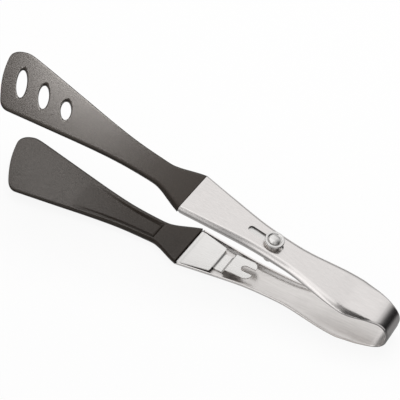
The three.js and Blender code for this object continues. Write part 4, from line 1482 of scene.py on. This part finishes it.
def add_lamp(name, place, aim, size, power):
    """An area lamp that shines from place to aim and isn't seen itself."""
    light = bpy.data.lights.new(name, "AREA")
    light.shape = "RECTANGLE"
    light.size, light.size_y = size
    light.energy = power
    lamp = bpy.data.objects.new(name, light)
    lamp.location = place
    lamp.rotation_mode = "QUATERNION"
    lamp.rotation_quaternion = (Vector(aim) - Vector(place)).to_track_quat("-Z", "Y")
    lamp.visible_camera = False
    bpy.context.scene.collection.objects.link(lamp)
    return lamp


def add_camera():
    """The camera, turned by its yaw, its tilt and its roll."""
    z = studio()
    a, e, r = z.camera_yaw, z.camera_tilt, z.camera_roll
    back = Vector((math.sin(a) * math.cos(e), -math.cos(a) * math.cos(e), math.sin(e)))
    level = Vector((math.cos(a), math.sin(a), 0.0))
    rise = back.cross(level)
    right = level * math.cos(r) + rise * math.sin(r)
    up = rise * math.cos(r) - level * math.sin(r)
    camera = bpy.data.objects.new("camera", bpy.data.cameras.new("camera"))
    camera.data.lens = z.camera_lens
    camera.data.sensor_width = SENSOR_WIDTH
    turned = Matrix((right, up, back)).transposed().to_4x4()
    camera.matrix_world = Matrix.Translation(z.camera_place) @ turned
    bpy.context.scene.collection.objects.link(camera)
    bpy.context.scene.camera = camera


def add_world():
    """An even light from all sides, which is plain white to the camera."""
    world = bpy.data.worlds.new("studio")
    bpy.context.scene.world = world
    world.use_nodes = True
    nodes, links = world.node_tree.nodes, world.node_tree.links
    plain = nodes["Background"]
    plain.inputs["Color"].default_value = SKY_COLOUR
    plain.inputs["Strength"].default_value = studio().sky
    white = add_node(nodes, "ShaderNodeBackground", Strength=1.0)
    mix = white_to_camera(nodes, links, plain.outputs[0], 1.0)
    surface = nodes["World Output"].inputs["Surface"]
    join(links, (white.outputs[0], mix.inputs[2]), (mix.outputs[0], surface))


class TONGS_OT_studio(bpy.types.Operator):
    """Make the floor, what the steel mirrors, the lamps, the world and the camera"""

    bl_idname = "tongs.studio"
    bl_label = "Make the studio"

    def execute(self, context):
        z = studio()
        size = z.floor_size
        flat_card("floor", (0, 0, 0), (size, 0, 0), (0, size, 0), floor_material())
        mesh = dome_mesh("mirrored_dome", DOME_RADIUS)
        mesh.materials.append(mirrored_material("mirrored_dome", DOME_ACROSS, DOME_NEAR, DOME_FAR, True))
        dome = bpy.data.objects.new("mirrored_dome", mesh)
        context.scene.collection.objects.link(dome)
        # A floor that only the steel mirrors, whose greys are painted shade
        ground = mirrored_material("mirrored_floor", FLOOR_ACROSS, FLOOR_ALONG, FLOOR_ALONG, False)
        dark, _, _, shader = new_material("mirrored_shade")
        shader.inputs["Base Color"].default_value = SHADE_COLOUR
        mirrored_only(dome)
        for name, place, along, across, material in (
            ("mirrored_floor", (0, 0, MIRRORED_FLOOR_HEIGHT), DOME_RADIUS, DOME_RADIUS, ground),
            ("mirrored_shade", *SHADE, dark),
        ):
            mirrored_only(flat_card(name, place, (along, 0, 0), (0, across, 0), material))
        key = add_lamp("key_lamp", *KEY_LAMP, z.key)
        key.visible_glossy = False
        for name, *lamp_values in BLADE_LAMPS:
            lamp = add_lamp(name + "_lamp", *lamp_values)
            lit = bpy.data.collections.new("lit_by_" + name + "_lamp")
            lit.objects.link(bpy.data.objects[name + "_nylon"])
            lamp.light_linking.receiver_collection = lit
        add_world()
        add_camera()
        context.scene.view_settings.view_transform = "Standard"
        return {"FINISHED"}


class TONGS_PT_panel(bpy.types.Panel):
    """Lists the tongs' pieces and sizes"""

    bl_idname = "TONGS_PT_panel"
    bl_label = "Kitchen tongs"
    bl_space_type = "VIEW_3D"
    bl_region_type = "UI"
    bl_category = "Tongs"

    def draw(self, context):
        for operator in OPERATORS:
            self.layout.operator(operator.bl_idname)
        for group in GROUPS:
            box = self.layout.box()
            box.label(text=group.__doc__)
            for name in group.__annotations__:
                box.prop(getattr(context.scene, GROUPS[group]), name)


OPERATORS = (TONGS_OT_arms, TONGS_OT_bow, TONGS_OT_blades, TONGS_OT_catch, TONGS_OT_lock, TONGS_OT_studio)
GROUPS = {
    SteelSizes: "tongs_steel",
    BladeSizes: "tongs_blades",
    CatchSizes: "tongs_catch",
    LockSizes: "tongs_lock",
    Finishes: "tongs_finishes",
    StudioSettings: "tongs_studio",
}


def register():
    for group, name in GROUPS.items():
        bpy.utils.register_class(group)
        setattr(bpy.types.Scene, name, PointerProperty(type=group))
    for operator in OPERATORS:
        bpy.utils.register_class(operator)
    bpy.utils.register_class(TONGS_PT_panel)


def unregister():
    bpy.utils.unregister_class(TONGS_PT_panel)
    for operator in reversed(OPERATORS):
        bpy.utils.unregister_class(operator)
    for group, name in GROUPS.items():
        delattr(bpy.types.Scene, name)
        bpy.utils.unregister_class(group)


def main():
    register()
    bpy.ops.tongs.arms()
    bpy.ops.tongs.bow()
    bpy.ops.tongs.blades()
    bpy.ops.tongs.catch()
    bpy.ops.tongs.lock()
    bpy.ops.tongs.studio()


if __name__ == "__main__":
    main()
